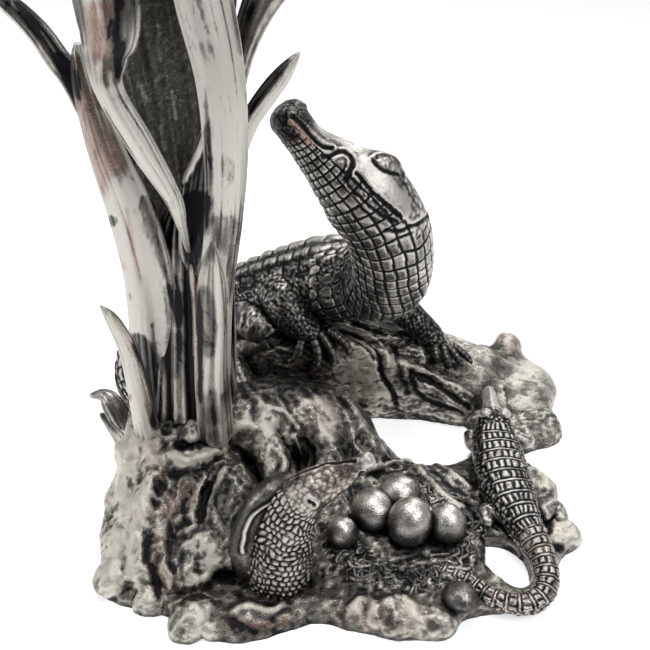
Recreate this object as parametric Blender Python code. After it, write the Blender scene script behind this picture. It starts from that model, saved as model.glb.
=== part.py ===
"""Crocodile sculpture: an adult crocodile on a river bank looks back over a nest.

The work is one casting. A crocodile lies on a broken bank behind a plant with
broad leaves, its neck bent round and its snout raised. In front of it is a nest
of eggs with two hatchlings. Every form is modelled as a closed body of clay,
the bodies are fused into one skin, and the skin is cut flat underneath.

The file is in metres, +Z up, and the viewer stands at -Y. The origin is on the
flat underside. Forms are drawn in units of their own place: one unit is a
millimetre at the sizes given here, and a place grows with its driving size.
"""
import math

import bmesh
import bpy
import numpy as np

# Driving dimensions, in metres
PLANT_HEIGHT = 0.252
BASE_WIDTH = 0.214
BASE_DEPTH = 0.200
BASE_THICKNESS = 0.007
MOUND_HEIGHT = 0.048
BANK_HEIGHT = 0.044
CROCODILE_LENGTH = 0.300
HATCHLING_LENGTH = 0.150
EGG_LENGTH = 0.021
EGG_WIDTH = 0.0185
LEAF_THICKNESS = 0.0036
TOE_WIDTH = 0.0050

# Fineness of the fused skin
CLAY_GRAIN = 0.0012
FACE_BUDGET = 9600

# The finish, as cast
SILVER_COLOUR = (0.42, 0.40, 0.37, 1.0)
SILVER_ROUGHNESS = 0.32
SILVER_METALLIC = 1.0


class Place:
    """Where a group of forms stands and how much one of its units measures."""

    def __init__(self, origin, stretch):
        self.origin = np.array(origin, dtype=float)
        self.stretch = np.array(stretch, dtype=float)

    def points(self, rows):
        """Points in metres from rows that start with x, y and z in units."""
        return self.origin + np.array(rows, dtype=float)[:, :3] * self.stretch

    def widths(self, values):
        """Widths in metres from widths in units."""
        return np.array(values, dtype=float) * float(np.cbrt(np.prod(self.stretch)))


def even(size, units):
    """The stretch of a place that grows the same way in every direction."""
    return (size / units,) * 3


ACROSS = BASE_WIDTH / 214
DEEP = BASE_DEPTH / 200
BASE = Place((0, 0, 0), (ACROSS, DEEP, BASE_THICKNESS / 7))
MOUND = Place((0, 0, 0), (ACROSS, DEEP, MOUND_HEIGHT / 48))
BANK = Place((0, 0, 0), (ACROSS, DEEP, BANK_HEIGHT / 44))
PLANT = Place((-68 * ACROSS, -8 * DEEP, MOUND_HEIGHT), even(PLANT_HEIGHT, 252))
CROCODILE = Place((-10 * ACROSS, 60 * DEEP, BANK_HEIGHT), even(CROCODILE_LENGTH, 300))
HATCHLING = Place((-26 * ACROSS, -72 * DEEP, BASE_THICKNESS), even(HATCHLING_LENGTH, 150))
CLIMBER = Place((74 * ACROSS, -20 * DEEP, BASE_THICKNESS), even(HATCHLING_LENGTH, 150))
NEST = Place((24 * ACROSS, -50 * DEEP, BASE_THICKNESS), even(EGG_LENGTH, 21))


def unit(vectors):
    """Vectors of length one."""
    return vectors / np.maximum(np.linalg.norm(vectors, axis=-1, keepdims=True), 1e-9)


def smooth_path(rows, count, closed=False):
    """Values along a smooth curve through the rows, at evenly spaced steps."""
    rows = np.array(rows, dtype=float)
    last = len(rows)
    if closed:
        padded = np.vstack([rows[-1], rows, rows[0], rows[1]])
        spans = last
    else:
        padded = np.vstack([2 * rows[0] - rows[1], rows, 2 * rows[-1] - rows[-2]])
        spans = last - 1
    steps = np.linspace(0, spans, count, endpoint=not closed)
    span = np.minimum(steps.astype(int), spans - 1)
    t = (steps - span)[:, None]
    a, b, c, d = (padded[span + k] for k in range(4))
    return 0.5 * (2 * b + (c - a) * t + (2 * a - 5 * b + 4 * c - d) * t ** 2
                  + (3 * b - a - 3 * c + d) * t ** 3)


def closed_rings(rings, start, end):
    """Faces and points of a body made of rings of points between two end points."""
    count, around = len(rings), len(rings[0])
    points = np.vstack([start[None], np.concatenate(rings), end[None]])
    faces = []
    for k in range(around):
        after = (k + 1) % around
        faces.append((0, 1 + after, 1 + k))
        for ring in range(count - 1):
            low = 1 + ring * around
            faces.append((low + k, low + after, low + around + after, low + around + k))
        top = 1 + (count - 1) * around
        faces.append((top + k, top + after, len(points) - 1))
    return points, faces


def rounded_ends(count, share_start, share_end):
    """How full each ring is, from a pole through a round end to the full section."""
    t = (np.arange(count) + 0.5) / count
    near_start = np.clip(1 - t / max(share_start, 1e-6), 0, 1)
    near_end = np.clip(1 - (1 - t) / max(share_end, 1e-6), 0, 1)
    return np.sqrt(1 - near_start ** 2) * np.sqrt(1 - near_end ** 2)


def limb(place, rows, up=(0, 0, 1), count=24, around=14, ends=(0.12, 0.12), relief=None):
    """A round body along a path of x, y, z, half width and half height.

    up is the direction of its back, one for the whole path or one for each row.
    relief(along, angle) gives a share of the section to add, with the angle 0 at
    the back and a quarter turn on the side that lies to the right of the path.
    """
    rows = np.array(rows, dtype=float)
    backs = np.array(up, dtype=float)
    if backs.ndim == 1:
        backs = np.tile(backs, (len(rows), 1))
    path = smooth_path(np.hstack([rows, backs]), count)
    centres = place.points(path)
    halves = place.widths(path[:, 3:5]) * rounded_ends(count, *ends)[:, None]
    ahead = unit(np.gradient(centres, axis=0))
    back = path[:, 5:8]
    back = unit(back - ahead * np.sum(ahead * back, axis=1, keepdims=True))
    side = np.cross(ahead, back)
    rings = []
    angles = np.arange(around) * 2 * math.pi / around
    for k in range(count):
        grow = 1 + relief(k / (count - 1), angles) if relief else np.ones(around)
        rings.append(centres[k] + halves[k, 0] * np.outer(np.sin(angles) * grow, side[k])
                     + halves[k, 1] * np.outer(np.cos(angles) * grow, back[k]))
    return closed_rings(rings, centres[0], centres[-1])


def lump(place, centre, radii, turn=0.0, lean=0.0, count=14, around=18):
    """An ellipsoid, turned about the upright and leaned towards its own +X."""
    centre = place.points([centre])[0]
    radii = place.widths(radii)
    heights = np.cos((np.arange(count) + 0.5) * math.pi / count)
    angles = np.arange(around) * 2 * math.pi / around
    lean_axes = np.array([[math.cos(lean), 0, math.sin(lean)], [0, 1, 0],
                          [-math.sin(lean), 0, math.cos(lean)]])
    turn_axes = np.array([[math.cos(turn), -math.sin(turn), 0],
                          [math.sin(turn), math.cos(turn), 0], [0, 0, 1]])
    axes = turn_axes @ lean_axes
    rings = []
    for height in heights:
        across = math.sqrt(1 - height * height)
        ring = np.stack([across * np.cos(angles), across * np.sin(angles),
                         np.full(around, height)], axis=1) * radii
        rings.append(centre + ring @ axes.T)
    pole = np.array([0, 0, radii[2]]) @ axes.T
    return closed_rings(rings, centre + pole, centre - pole)


def leaf(place, rows, face, cup=0.25, thickness=LEAF_THICKNESS, count=26, around=9):
    """A cupped blade along a path of x, y, z and half width.

    face is the direction that the middle of the blade looks at, one for the whole
    blade or one for each row, and cup bends its margins away from there.
    """
    rows = np.array(rows, dtype=float)
    faces_to = np.array(face, dtype=float)
    if faces_to.ndim == 1:
        faces_to = np.tile(faces_to, (len(rows), 1))
    path = smooth_path(np.hstack([rows, faces_to]), count)
    centres = place.points(path)
    half_width = place.widths(path[:, 3]) * rounded_ends(count, 0.02, 0.08)
    ahead = unit(np.gradient(centres, axis=0))
    out = path[:, 4:7]
    out = unit(out - ahead * np.sum(ahead * out, axis=1, keepdims=True))
    side = np.cross(ahead, out)
    across = np.sin(np.linspace(-0.5, 0.5, around) * math.pi)
    rings = []
    for k in range(count):
        wide = half_width[k] * across
        bend = -cup * half_width[k] * across ** 2
        half_thick = np.minimum(thickness / 2, 0.6 * half_width[k]) * np.sqrt(1 - 0.85 * across ** 2)
        front = centres[k] + np.outer(wide, side[k]) + np.outer(bend + half_thick, out[k])
        rear = centres[k] + np.outer(wide, side[k]) + np.outer(bend - half_thick, out[k])
        rings.append(np.vstack([front, rear[::-1]]))
    return closed_rings(rings, centres[0], centres[-1])


def plate(name, place, outline, holes, top, bottom, rim):
    """A flat body inside a smooth outline, with smooth holes and a rounded rim."""
    curve = bpy.data.curves.new(name, "CURVE")
    curve.dimensions = "2D"
    curve.fill_mode = "BOTH"
    curve.extrude = (top - bottom) / 2 - rim
    curve.bevel_depth = rim
    curve.bevel_resolution = 2
    curve.offset = -rim
    for points in [outline] + holes:
        flat = [(x, y, 0) for x, y in points]
        steps = place.points(smooth_path(flat, 6 * len(points), closed=True))
        spline = curve.splines.new("POLY")
        spline.points.add(len(steps) - 1)
        for point, step in zip(spline.points, steps):
            point.co = (step[0], step[1], 0, 1)
        spline.use_cyclic_u = True
    body = bpy.data.objects.new(name, curve)
    bpy.context.scene.collection.objects.link(body)
    graph = bpy.context.evaluated_depsgraph_get()
    mesh = bpy.data.meshes.new_from_object(body.evaluated_get(graph))
    points = np.array([tuple(v.co) for v in mesh.vertices])
    points[:, 2] += (top + bottom) / 2
    faces = [tuple(face.vertices) for face in mesh.polygons]
    bpy.data.objects.remove(body)
    return points, faces


# Outlines of the base in units: the rim clockwise from its near left corner
BASE_OUTLINE = [(-100, -75), (-98, -40), (-100, 10), (-94, 58), (-66, 86), (-20, 95), (40, 98),
                (82, 98), (93, 84), (99, 62), (109, 32), (104, 17), (86, 9), (90, -6), (96, -18),
                (93, -33), (98, -47), (88, -60), (82, -80), (64, -84), (44, -88), (22, -98),
                (4, -94), (-12, -90), (-34, -98), (-56, -98), (-72, -86)]
BANK_HOLE = [(8, 42), (34, 36), (60, 31), (64, 20), (55, 1), (31, -1), (19, 18)]
TAIL_HOLE = [(55, -49), (69, -52), (76, -66), (70, -76), (61, -68), (55, -58)]


def ground_forms():
    """The base with its rim stones, the mound under the plant and the rock beside it."""
    forms = [plate("base_plate", BASE, BASE_OUTLINE, [BANK_HOLE, TAIL_HOLE],
                   BASE_THICKNESS, -BASE_THICKNESS, BASE_THICKNESS / 3)]
    stones = [(-91, -69, 5, 11, 9, 9), (-78, -80, 3, 9, 8, 7), (-60, -90, 3, 12, 9, 8),
              (-38, -94, 2, 11, 8, 7), (-20, -86, 3, 10, 7, 7), (0, -87, 2, 9, 7, 6),
              (16, -91, 5, 12, 8, 8), (34, -92, 4, 10, 8, 7), (50, -80, 3, 8, 6, 6),
              (88, -34, 4, 8, 9, 7), (95, -47, 4, 8, 7, 6), (91, -17, 3, 8, 8, 6),
              (-90, 60, 5, 12, 12, 10), (-56, 84, 4, 18, 9, 9), (-14, 92, 4, 16, 7, 8)]
    forms += [lump(BASE, (x, y, z), (a, b, c), turn=0.4 * k)
              for k, (x, y, z, a, b, c) in enumerate(stones)]
    mound = [(-70, -30, -8, 30, 44), (-71, -22, 14, 28, 34), (-72, -14, 32, 25, 26),
             (-71, -11, 42, 24, 21), (-71, -10, 49, 20, 15)]
    forms.append(limb(MOUND, mound, up=(0, 1, 0), around=24, ends=(0.02, 0.1), relief=folds))
    roots = [((-88, -24, 40), (-92, -40, 24), (-90, -64, 6), 10),
             ((-80, -36, 36), (-82, -54, 20), (-76, -74, 4), 11),
             ((-64, -40, 36), (-62, -58, 16), (-66, -78, 4), 9),
             ((-52, -34, 34), (-46, -48, 24), (-48, -68, 6), 12),
             ((-38, -20, 38), (-28, -34, 24), (-34, -52, 8), 9),
             ((-22, -6, 42), (-8, -16, 26), (-10, -36, 8), 10),
             ((-6, 0, 38), (8, -10, 22), (6, -30, 6), 8)]
    for *steps, wide in roots:
        rows = [(*step, wide * size, wide * size) for step, size in zip(steps, (0.7, 1.0, 1.2))]
        forms.append(limb(MOUND, rows, up=(0, -0.6, 0.8), count=16, around=12, relief=folds))
    back_slope = [(-70, 42, -8, 32, 34), (-66, 34, 16, 26, 26), (-62, 20, 34, 20, 18)]
    forms.append(limb(MOUND, back_slope, up=(0, 1, 0), around=20, relief=folds))
    rock = [(-58, -10, 30, 22, 22), (-34, -2, 26, 20, 24), (-14, 4, 23, 18, 22),
            (-2, 3, 18, 14, 19), (10, 0, 9, 10, 12), (20, -4, 2, 7, 6)]
    forms.append(limb(MOUND, rock, around=20, ends=(0.05, 0.1), relief=folds))
    apron = [(-66, -36, 12, 26, 18), (-40, -30, 8, 26, 17), (-14, -26, 4, 24, 14),
             (12, -24, 1, 20, 12), (36, -18, 0, 15, 12), (58, -24, 0, 15, 11), (74, -30, 0, 14, 12)]
    forms.append(limb(MOUND, apron, around=20, relief=folds))
    return forms


def folds(along, angles):
    """Ridges and gullies of broken ground, as shares of the section."""
    return 0.05 * np.sin(5 * angles + 9 * along) + 0.035 * np.sin(9 * angles - 14 * along)


def bank_forms():
    """The bank that the crocodile lies on, and the pale slab at its right end."""
    log = [(-72, 66, 14, 28, 24), (-44, 68, 18, 29, 25), (-12, 69, 18, 27, 26),
           (14, 68, 15, 26, 25), (38, 66, 10, 27, 22), (62, 64, 6, 28, 17), (84, 62, 2, 26, 13)]
    slab = [(60, 52, 4, 24, 11), (76, 58, 5, 33, 10), (88, 56, 4, 28, 9), (101, 36, 3, 15, 8)]
    knob = lump(BANK, (90, 84, 12), (8, 9, 9))
    front = [(-52, 46, 12, 9, 28), (-22, 46, 14, 9, 29), (4, 46, 13, 8, 30),
             (24, 44, 10, 8, 25), (46, 42, 7, 8, 18), (66, 36, 4, 9, 12)]
    return [limb(BANK, log, around=22, ends=(0.03, 0.05), relief=folds),
            limb(BANK, slab, around=20, ends=(0.1, 0.2)),
            limb(BANK, front, around=18, relief=folds), knob]


# The adult's spine from tail tip to snout: x, y, z, half width, half height, and its back
SPINE = [(-92, -34, -30, 2, 2, 0, 0, 1), (-100, -14, -26, 5, 5, -0.3, 0, 1),
         (-96, 8, -20, 8, 8, -0.3, 0.3, 1), (-76, 18, -10, 12, 11, 0, 0.3, 1),
         (-50, 17, 1, 17, 14, 0, 0.2, 1), (-22, 12, 13, 22, 18, 0, 0.1, 1),
         (2, 6, 22, 23, 20, 0, 0.1, 1), (22, -3, 26, 20, 19.5, 0.2, 0.4, 1),
         (31, -17, 35, 18, 19, 0.5, 0.75, 0.6), (31, -27, 53, 18, 18.5, 0.7, 0.75, 0.2),
         (27, -32, 70, 19, 18, 0.75, 0.65, 0.25), (17, -34, 86, 20, 17.5, 0.6, 0.65, 0.48),
         (6, -34, 97, 14.5, 13, 0.575, 0.643, 0.506), (-4, -34, 107, 10, 8.8, 0.575, 0.643, 0.506),
         (-11.5, -34, 116, 8.8, 7.4, 0.575, 0.643, 0.506), (-17, -34, 123.5, 8.6, 7.2, 0.575, 0.643, 0.506)]


# The crown between the eyes, with its back, and the nose
BETWEEN_EYES = (13, -34, 91.5, 0.575, 0.643, 0.506)
BROW_REACH = 14
NOSE = np.array((-13.5, -34, 119.5))


def hide(along, angles):
    """The back's scutes, the flat belly and the line of the mouth, as shares of the section."""
    from_back = np.minimum(angles, 2 * math.pi - angles)
    ridge = np.exp(-(from_back / 0.30) ** 2)
    scutes = 0.10 * ridge * np.abs(np.sin(28 * math.pi * along)) if along < 0.62 else 0.0
    belly = -0.06 * np.clip(-np.cos(angles), 0, 1) ** 4
    mouth = -0.14 * np.exp(-((from_back - 1.75) / 0.16) ** 2) if along > 0.78 else 0.0
    return scutes + belly + mouth


def crocodile_forms():
    """The adult: body, brows, nostrils, legs and long toes."""
    spine = [row[:5] for row in SPINE]
    backs = [row[5:] for row in SPINE]
    forms = [limb(CROCODILE, spine, up=backs, count=110, around=36, ends=(0.02, 0.025), relief=hide)]
    crown = np.array(BETWEEN_EYES[:3])
    back = np.array(BETWEEN_EYES[3:6])
    side = np.cross(unit(np.array(SPINE[-1][:3]) - crown), back)
    for hand in (-1, 1):
        forms.append(lump(CROCODILE, crown + 0.8 * BROW_REACH * back + 0.6 * BROW_REACH * hand * side,
                          (5.6, 4.4, 5.6), turn=0.9, lean=-0.8))
        forms.append(lump(CROCODILE, NOSE + 3.2 * back + 2.4 * hand * side, (3.4, 3.4, 3.4)))
    legs = [
        [(-22, 2, 20, 12, 12), (-18, -8, 16, 11, 11), (-13, -13, 10, 9.5, 9.5), (-7, -16, 6, 8.5, 7),
         (-3, -16, 3, 8.5, 4.5)],
        [(-44, 8, 4, 12, 12), (-34, -6, 4, 11, 10), (-25, -13, 1, 8.5, 8), (-26, -13, -1, 7, 6)],
        [(-26, -12, -3, 6, 6), (-36, -13, -6, 6.5, 6), (-44, -14, -8, 7, 5), (-38, -17, -12, 7, 5)],
        [(24, 12, 18, 12, 12), (38, 6, 6, 9.5, 9), (52, 0, -5, 8, 7.5), (64, -3, -14, 8.5, 5.5)],
        [(-44, 24, 4, 12, 12), (-30, 36, -2, 10, 10), (-20, 38, -6, 7, 7), (-30, 36, -10, 7, 5)]]
    forms += [limb(CROCODILE, leg, up=(0, 0.3, 1), count=14, ends=(0.05, 0.2)) for leg in legs]
    toe = TOE_WIDTH / CROCODILE_LENGTH * 300 / 2
    near_toes = [((-9, -17, 5), (-11, -21, 0), (-13, -22.5, -6), (-18, -22, -10)),
                 ((-6, -18, 5), (-3, -22, -1), (-3, -23, -8), (-6, -23, -15)),
                 ((-2, -17, 5), (3, -21, -1), (5, -22, -7), (4, -22, -12)),
                 ((2, -15, 5), (8, -18, 2), (12, -20, -2), (12, -20.5, -6))]
    far_toes = [((62, -4, -12), (68, -12, -13), (72, -17, -16), (73, -20, -20)),
                ((65, -3, -12), (73, -9, -14), (79, -13, -17), (81, -15, -21)),
                ((66, -1, -12), (76, -4, -14), (82, -6, -17), (84, -8, -21)),
                ((66, 2, -12), (75, 3, -14), (80, 3, -17), (83, 3, -21))]
    for steps in near_toes + far_toes:
        rows = [(*step, toe * size, toe * size) for step, size in zip(steps, (1.15, 1.05, 0.95, 0.6))]
        forms.append(limb(CROCODILE, rows, up=(0.3, 0.9, 0.3), count=10, around=8))
    return forms


def hatchling_forms():
    """One hatchling rising from its shell and one climbing from the nest to the slab."""
    rising = [(-2, 0, -6, 13, 12), (-1, 3, 14, 13.5, 12), (3, 4, 30, 11.5, 10), (11, 5, 41, 8.5, 8.5),
              (19, 6, 46.5, 7.2, 6.5), (25, 6.5, 50, 4.6, 3.8), (31, 7, 54, 3.3, 3),
              (35, 7, 57, 3.8, 3.6)]
    shell = [(-6, 8, -4, 14, 10), (-8, 10, 14, 17, 9), (-4, 12, 32, 14, 7), (4, 13, 42, 8, 4)]
    climbing = [(-8, 62, 8, 3, 2.6), (-5, 52, 12, 3.8, 3.2), (-3, 44, 14, 7.5, 5.5),
                (-4, 33, 13, 7.5, 5.5), (-4, 16, 9, 11.5, 7), (-1, -8, 7, 12.5, 7.5),
                (3, -26, 5, 10, 7), (7, -42, 2, 6.6, 5.5), (7, -56, 0, 4.8, 4.6),
                (-2, -67, -1, 4, 4), (-16, -66, -1, 3.5, 3.5), (-28, -57, 0, 3, 3),
                (-40, -49, 2, 2.5, 2.5)]
    forms = [limb(HATCHLING, shell, up=(-0.6, 0.6, 0.4), around=18),
             limb(HATCHLING, rising, up=(-0.3, -0.9, 0.3), count=30, around=16, relief=hide),
             limb(CLIMBER, climbing, count=54, around=16, ends=(0.02, 0.05), relief=hide)]
    brows = [(HATCHLING, (18, -1, 53)), (HATCHLING, (15, 8, 53)),
             (CLIMBER, (-8, 43, 19)), (CLIMBER, (1, 43, 19))]
    forms += [lump(place, at, (2.6, 2.6, 2.4)) for place, at in brows]
    climber_legs = [[(-8, 26, 8, 4, 4), (-14, 22, 6, 3.2, 3.2), (-14, 31, 6, 3, 2.5)],
                    [(4, 26, 8, 4, 4), (12, 24, 6, 3.2, 3.2), (12, 32, 6, 3, 2.5)],
                    [(-5, -22, 4, 4, 4), (-13, -18, 3, 3.4, 3.2), (-14, -26, 2, 3, 2.5)],
                    [(9, -22, 4, 4, 4), (17, -16, 3, 3.4, 3.2), (19, -24, 2, 3, 2.5)]]
    forms += [limb(CLIMBER, leg, count=10, around=10) for leg in climber_legs]
    return forms


def nest_forms():
    """Eggs in a ring of trodden straw, some lying and some on end, and one on the rim."""
    long = 21 / 2
    wide = long * EGG_WIDTH / EGG_LENGTH
    lying = [(-13, 6, 9, 0.4, 0.96), (-1, 15, 10, 1.4, 0.86), (20, -36, 3, 0.8, 0.82)]
    on_end = [(2, -3, 11, 0.25, 1.04), (18, -2, 9, -0.1, 0.88), (-26, -6, 8, 0.1, 0.70)]
    forms = [lump(NEST, (x, y, z), (wide * size, long * size, wide * size), turn=turn)
             for x, y, z, turn, size in lying]
    forms += [lump(NEST, (x, y, z), (wide * size, wide * size, long * size), lean=lean)
              for x, y, z, lean, size in on_end]
    turns = np.linspace(0, 2 * math.pi, 9)[:-1]
    ring = [(4 + 30 * math.cos(a), -2 + 24 * math.sin(a), 1 + 3 * math.sin(a), 7.5, 5) for a in turns]
    forms.append(limb(NEST, ring + ring[:2], count=40, around=12))
    forms.append(lump(NEST, (3, 3, 0), (28, 24, 5)))
    return forms


def plant_forms():
    """The plant: sheathing leaves round a hollow crown, and blades that arch away."""
    front, left, right = (0.1, -1, 0), (-0.8, -0.6, 0), (0.8, -0.6, 0)
    forms = [limb(PLANT, [(-2, 3, -8, 22, 21), (0, 3, 24, 19, 19), (2, 3, 50, 17, 17),
                          (3, 3, 76, 15, 14), (4, 4, 94, 12, 12)],
                  up=(0, 1, 0), around=20, ends=(0.02, 0.25))]
    blades = [
        # rolled leaf that crosses the front and opens up to the left
        ([(11, -10, 68, 3), (8, -17, 86, 5), (2, -18, 104, 6.5), (-6, -18, 124, 7.5), (-11, -16, 144, 10),
          (-14, -13, 162, 12), (-16, -9, 184, 13), (-18, -6, 210, 11), (-24, -4, 238, 3)],
         (-0.35, -1, 0), 0.35),
        # broad stem leaf on the left
        ([(-15, -9, -8, 12), (-14, -11, 30, 13), (-13, -12, 62, 13), (-17, -10, 92, 12),
          (-23, -7, 118, 9), (-26.5, -3, 140, 6.5), (-27, 1, 154, 3)], (-0.5, -0.9, 0), 0.5),
        # broad pale leaf on the right
        ([(14, -10, 14, 6), (17, -13, 56, 7), (22.5, -15, 92, 7.5), (25, -14, 120, 8.5),
          (24.5, -12, 146, 9), (20, -8, 172, 10), (14, -4, 204, 8), (10, -2, 234, 2)],
         (0.5, -1, 0), 0.35),
        # small leaf folded inside the crown
        ([(8, -8, 56, 5), (10, -11, 82, 6), (14, -11, 102, 7), (17, -11, 118, 5), (20, -11, 134, 1)],
         (-0.4, -1, 0.1), -0.3),
        # dark leaf at the back of the hollow crown
        ([(8, 2, 60, 12), (8, 3, 110, 18), (6, 5, 150, 21), (2, 8, 190, 20), (0, 12, 226, 12),
          (0, 16, 252, 2)], (0, -1, 0), -0.45),
        # keeled leaf standing in front
        ([(14, -24, -6, 7.5), (15, -27, 28, 7), (17, -28, 54, 6.5), (18, -29, 74, 5.5),
          (19, -29, 92, 1)], (0.25, -1, 0), 0.5),
        # short curved leaf on the left
        ([(-17, -22, -6, 7), (-17, -26, 22, 5.5), (-18, -28, 44, 4.2), (-21, -29, 58, 3),
          (-24, -30, 66, 1)], (-0.5, -1, 0), 0.5),
        # blade that arches to the left
        ([(-18, 4, 110, 6), (-29, 5, 138, 5.5), (-35, 6, 147, 5), (-41, 8, 156, 4.6),
          (-49, 10, 164, 4), (-58, 12, 170, 3.2), (-68, 14, 170, 1)], (0.6, -0.6, 0.6), 0.4),
        # broad blade that arches to the right
        ([(6, 6, 70, 5), (20, 8, 112, 4), (27, 10, 140, 4), (32, 12, 157, 6), (39, 14, 170, 7.5),
          (49, 16, 180, 7.5), (61, 18, 188, 6), (74, 20, 192, 1)], (-0.4, -1, 0.4), 0.35),
        # small pointed blade on the right
        ([(12, -2, 84, 4), (22, -2, 106, 4), (31, 0, 125, 3.6), (38, 2, 135, 3.8), (44, 4, 142, 3.2),
          (50, 6, 149, 1)],
         (-0.3, -1, 0.2), 0.4),
        # leaves of the back, plainer
        ([(-8, 18, -6, 11), (-8, 21, 50, 12), (-9, 22, 110, 12), (-14, 26, 160, 9),
          (-24, 34, 196, 1.5)], (-0.2, 1, 0), 0.4),
        ([(10, 18, -6, 11), (11, 21, 50, 12), (13, 22, 110, 11), (20, 26, 160, 8),
          (32, 34, 200, 1.5)], (0.3, 1, 0), 0.4)]
    forms += [leaf(PLANT, rows, face, cup) for rows, face, cup in blades]
    low = [([(-30, 4, -24, 5), (-37, 10, -12, 5), (-42, 14, -9, 3), (-49, 16, -11, 1)],
            (0.2, -0.8, 0.8), 0.2),
           ([(-30, -2, -26, 5), (-36, 4, -22, 3.4), (-43, 8, -15, 1)], (0.2, -1, 0.4), 0.2)]
    forms += [leaf(PLANT, rows, face, cup) for rows, face, cup in low]
    return forms


def silver():
    """Worn silver plate over a dark ground."""
    material = bpy.data.materials.new("antique_silver")
    material.use_nodes = True
    shader = material.node_tree.nodes["Principled BSDF"]
    shader.inputs["Base Color"].default_value = SILVER_COLOUR
    shader.inputs["Roughness"].default_value = SILVER_ROUGHNESS
    shader.inputs["Metallic"].default_value = SILVER_METALLIC
    return material


def join(name, forms):
    """One mesh object that holds every form as a body of its own."""
    points = []
    faces = []
    for form_points, form_faces in forms:
        start = sum(len(p) for p in points)
        points.append(form_points)
        faces += [tuple(start + k for k in face) for face in form_faces]
    mesh = bpy.data.meshes.new(name)
    mesh.from_pydata(np.concatenate(points).tolist(), [], faces)
    body = bpy.data.objects.new(name, mesh)
    bpy.context.scene.collection.objects.link(body)
    return body


def apply_modifiers(body):
    """Give the object the mesh that its modifiers make."""
    graph = bpy.context.evaluated_depsgraph_get()
    mesh = bpy.data.meshes.new_from_object(body.evaluated_get(graph))
    body.modifiers.clear()
    body.data = mesh


def keep_outer_skin(body):
    """Drop the closed pockets that fused forms leave inside, and keep the largest skin."""
    work = bmesh.new()
    work.from_mesh(body.data)
    unseen = set(work.verts)
    skins = []
    while unseen:
        skin = {unseen.pop()}
        edge = list(skin)
        while edge:
            vertex = edge.pop()
            for link in vertex.link_edges:
                other = link.other_vert(vertex)
                if other in unseen:
                    unseen.remove(other)
                    skin.add(other)
                    edge.append(other)
        skins.append(skin)
    skins.sort(key=len)
    dropped = [vertex for skin in skins[:-1] for vertex in skin]
    bmesh.ops.delete(work, geom=dropped, context="VERTS")
    work.to_mesh(body.data)
    work.free()


def underside_cutter():
    """A box below the ground plane that cuts the underside flat."""
    wide = 2 * max(BASE_WIDTH, BASE_DEPTH)
    mesh = bpy.data.meshes.new("underside_cutter")
    work = bmesh.new()
    bmesh.ops.create_cube(work, size=1.0)
    bmesh.ops.scale(work, vec=(wide, wide, wide), verts=work.verts)
    bmesh.ops.translate(work, vec=(0, 0, -wide / 2), verts=work.verts)
    work.to_mesh(mesh)
    work.free()
    cutter = bpy.data.objects.new("underside_cutter", mesh)
    cutter.hide_render = True
    cutter.display_type = "WIRE"
    bpy.context.scene.collection.objects.link(cutter)
    return cutter


def build():
    """Fuse the forms, thin the skin to the face budget and cut it flat underneath."""
    for old in list(bpy.data.objects):
        bpy.data.objects.remove(old)
    forms = (ground_forms() + bank_forms() + crocodile_forms() + hatchling_forms()
             + nest_forms() + plant_forms())
    body = join("crocodile_sculpture", forms)
    fuse = body.modifiers.new("fuse", "REMESH")
    fuse.mode = "VOXEL"
    fuse.voxel_size = CLAY_GRAIN
    apply_modifiers(body)
    keep_outer_skin(body)
    thin = body.modifiers.new("thin", "DECIMATE")
    thin.ratio = FACE_BUDGET / (2 * len(body.data.polygons))
    apply_modifiers(body)
    body.data.materials.append(silver())
    cut = body.modifiers.new("cut", "BOOLEAN")
    cut.object = underside_cutter()
    cut.operation = "DIFFERENCE"


build()
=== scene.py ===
"""Looks of the crocodile sculpture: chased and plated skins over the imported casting."""
import math

import bmesh
import bpy
import numpy as np
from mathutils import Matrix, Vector


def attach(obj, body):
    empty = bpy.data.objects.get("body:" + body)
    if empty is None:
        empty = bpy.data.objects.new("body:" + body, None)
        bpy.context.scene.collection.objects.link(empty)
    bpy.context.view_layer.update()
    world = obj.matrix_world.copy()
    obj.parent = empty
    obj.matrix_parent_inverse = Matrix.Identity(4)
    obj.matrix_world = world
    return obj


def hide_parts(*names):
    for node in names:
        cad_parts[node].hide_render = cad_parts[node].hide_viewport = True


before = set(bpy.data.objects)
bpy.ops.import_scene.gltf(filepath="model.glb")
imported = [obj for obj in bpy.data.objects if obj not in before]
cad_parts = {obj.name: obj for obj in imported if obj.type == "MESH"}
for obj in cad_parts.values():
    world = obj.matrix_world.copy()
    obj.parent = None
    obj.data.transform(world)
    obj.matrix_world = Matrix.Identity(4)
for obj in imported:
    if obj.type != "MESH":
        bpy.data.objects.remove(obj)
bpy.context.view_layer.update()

# All forms are drawn in millimetres and made in metres
MM = 0.001
NODE = "crocodile_sculpture"

# The viewer's place, tilt and lens
EYE = np.array((-9.0, -322.0, 290.0))
PITCH = math.radians(33)
LENS = 50.0
SENSOR = 36.0
PICTURE = 650

# Where each group of forms stands
BASE_THICKNESS = 7
PLANT = np.array((-68, -8, 48))
ADULT = np.array((-10, 60, 44))
RISING = np.array((-26, -72, BASE_THICKNESS))
CLIMBING = np.array((74, -20, BASE_THICKNESS))
NEST = np.array((24, -50, BASE_THICKNESS))
GROUND = np.zeros(3)


# Small mathematics

def unit(vectors):
    """Vectors of length one."""
    return vectors / np.maximum(np.linalg.norm(vectors, axis=-1, keepdims=True), 1e-9)


def bell(distance, width):
    """A smooth rise of one at no distance."""
    return np.exp(-(distance / width) ** 2)


def ramp(value, low, high):
    """A smooth step from 0 at low to 1 at high."""
    t = np.clip((value - low) / (high - low), 0, 1)
    return t * t * (3 - 2 * t)


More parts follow.
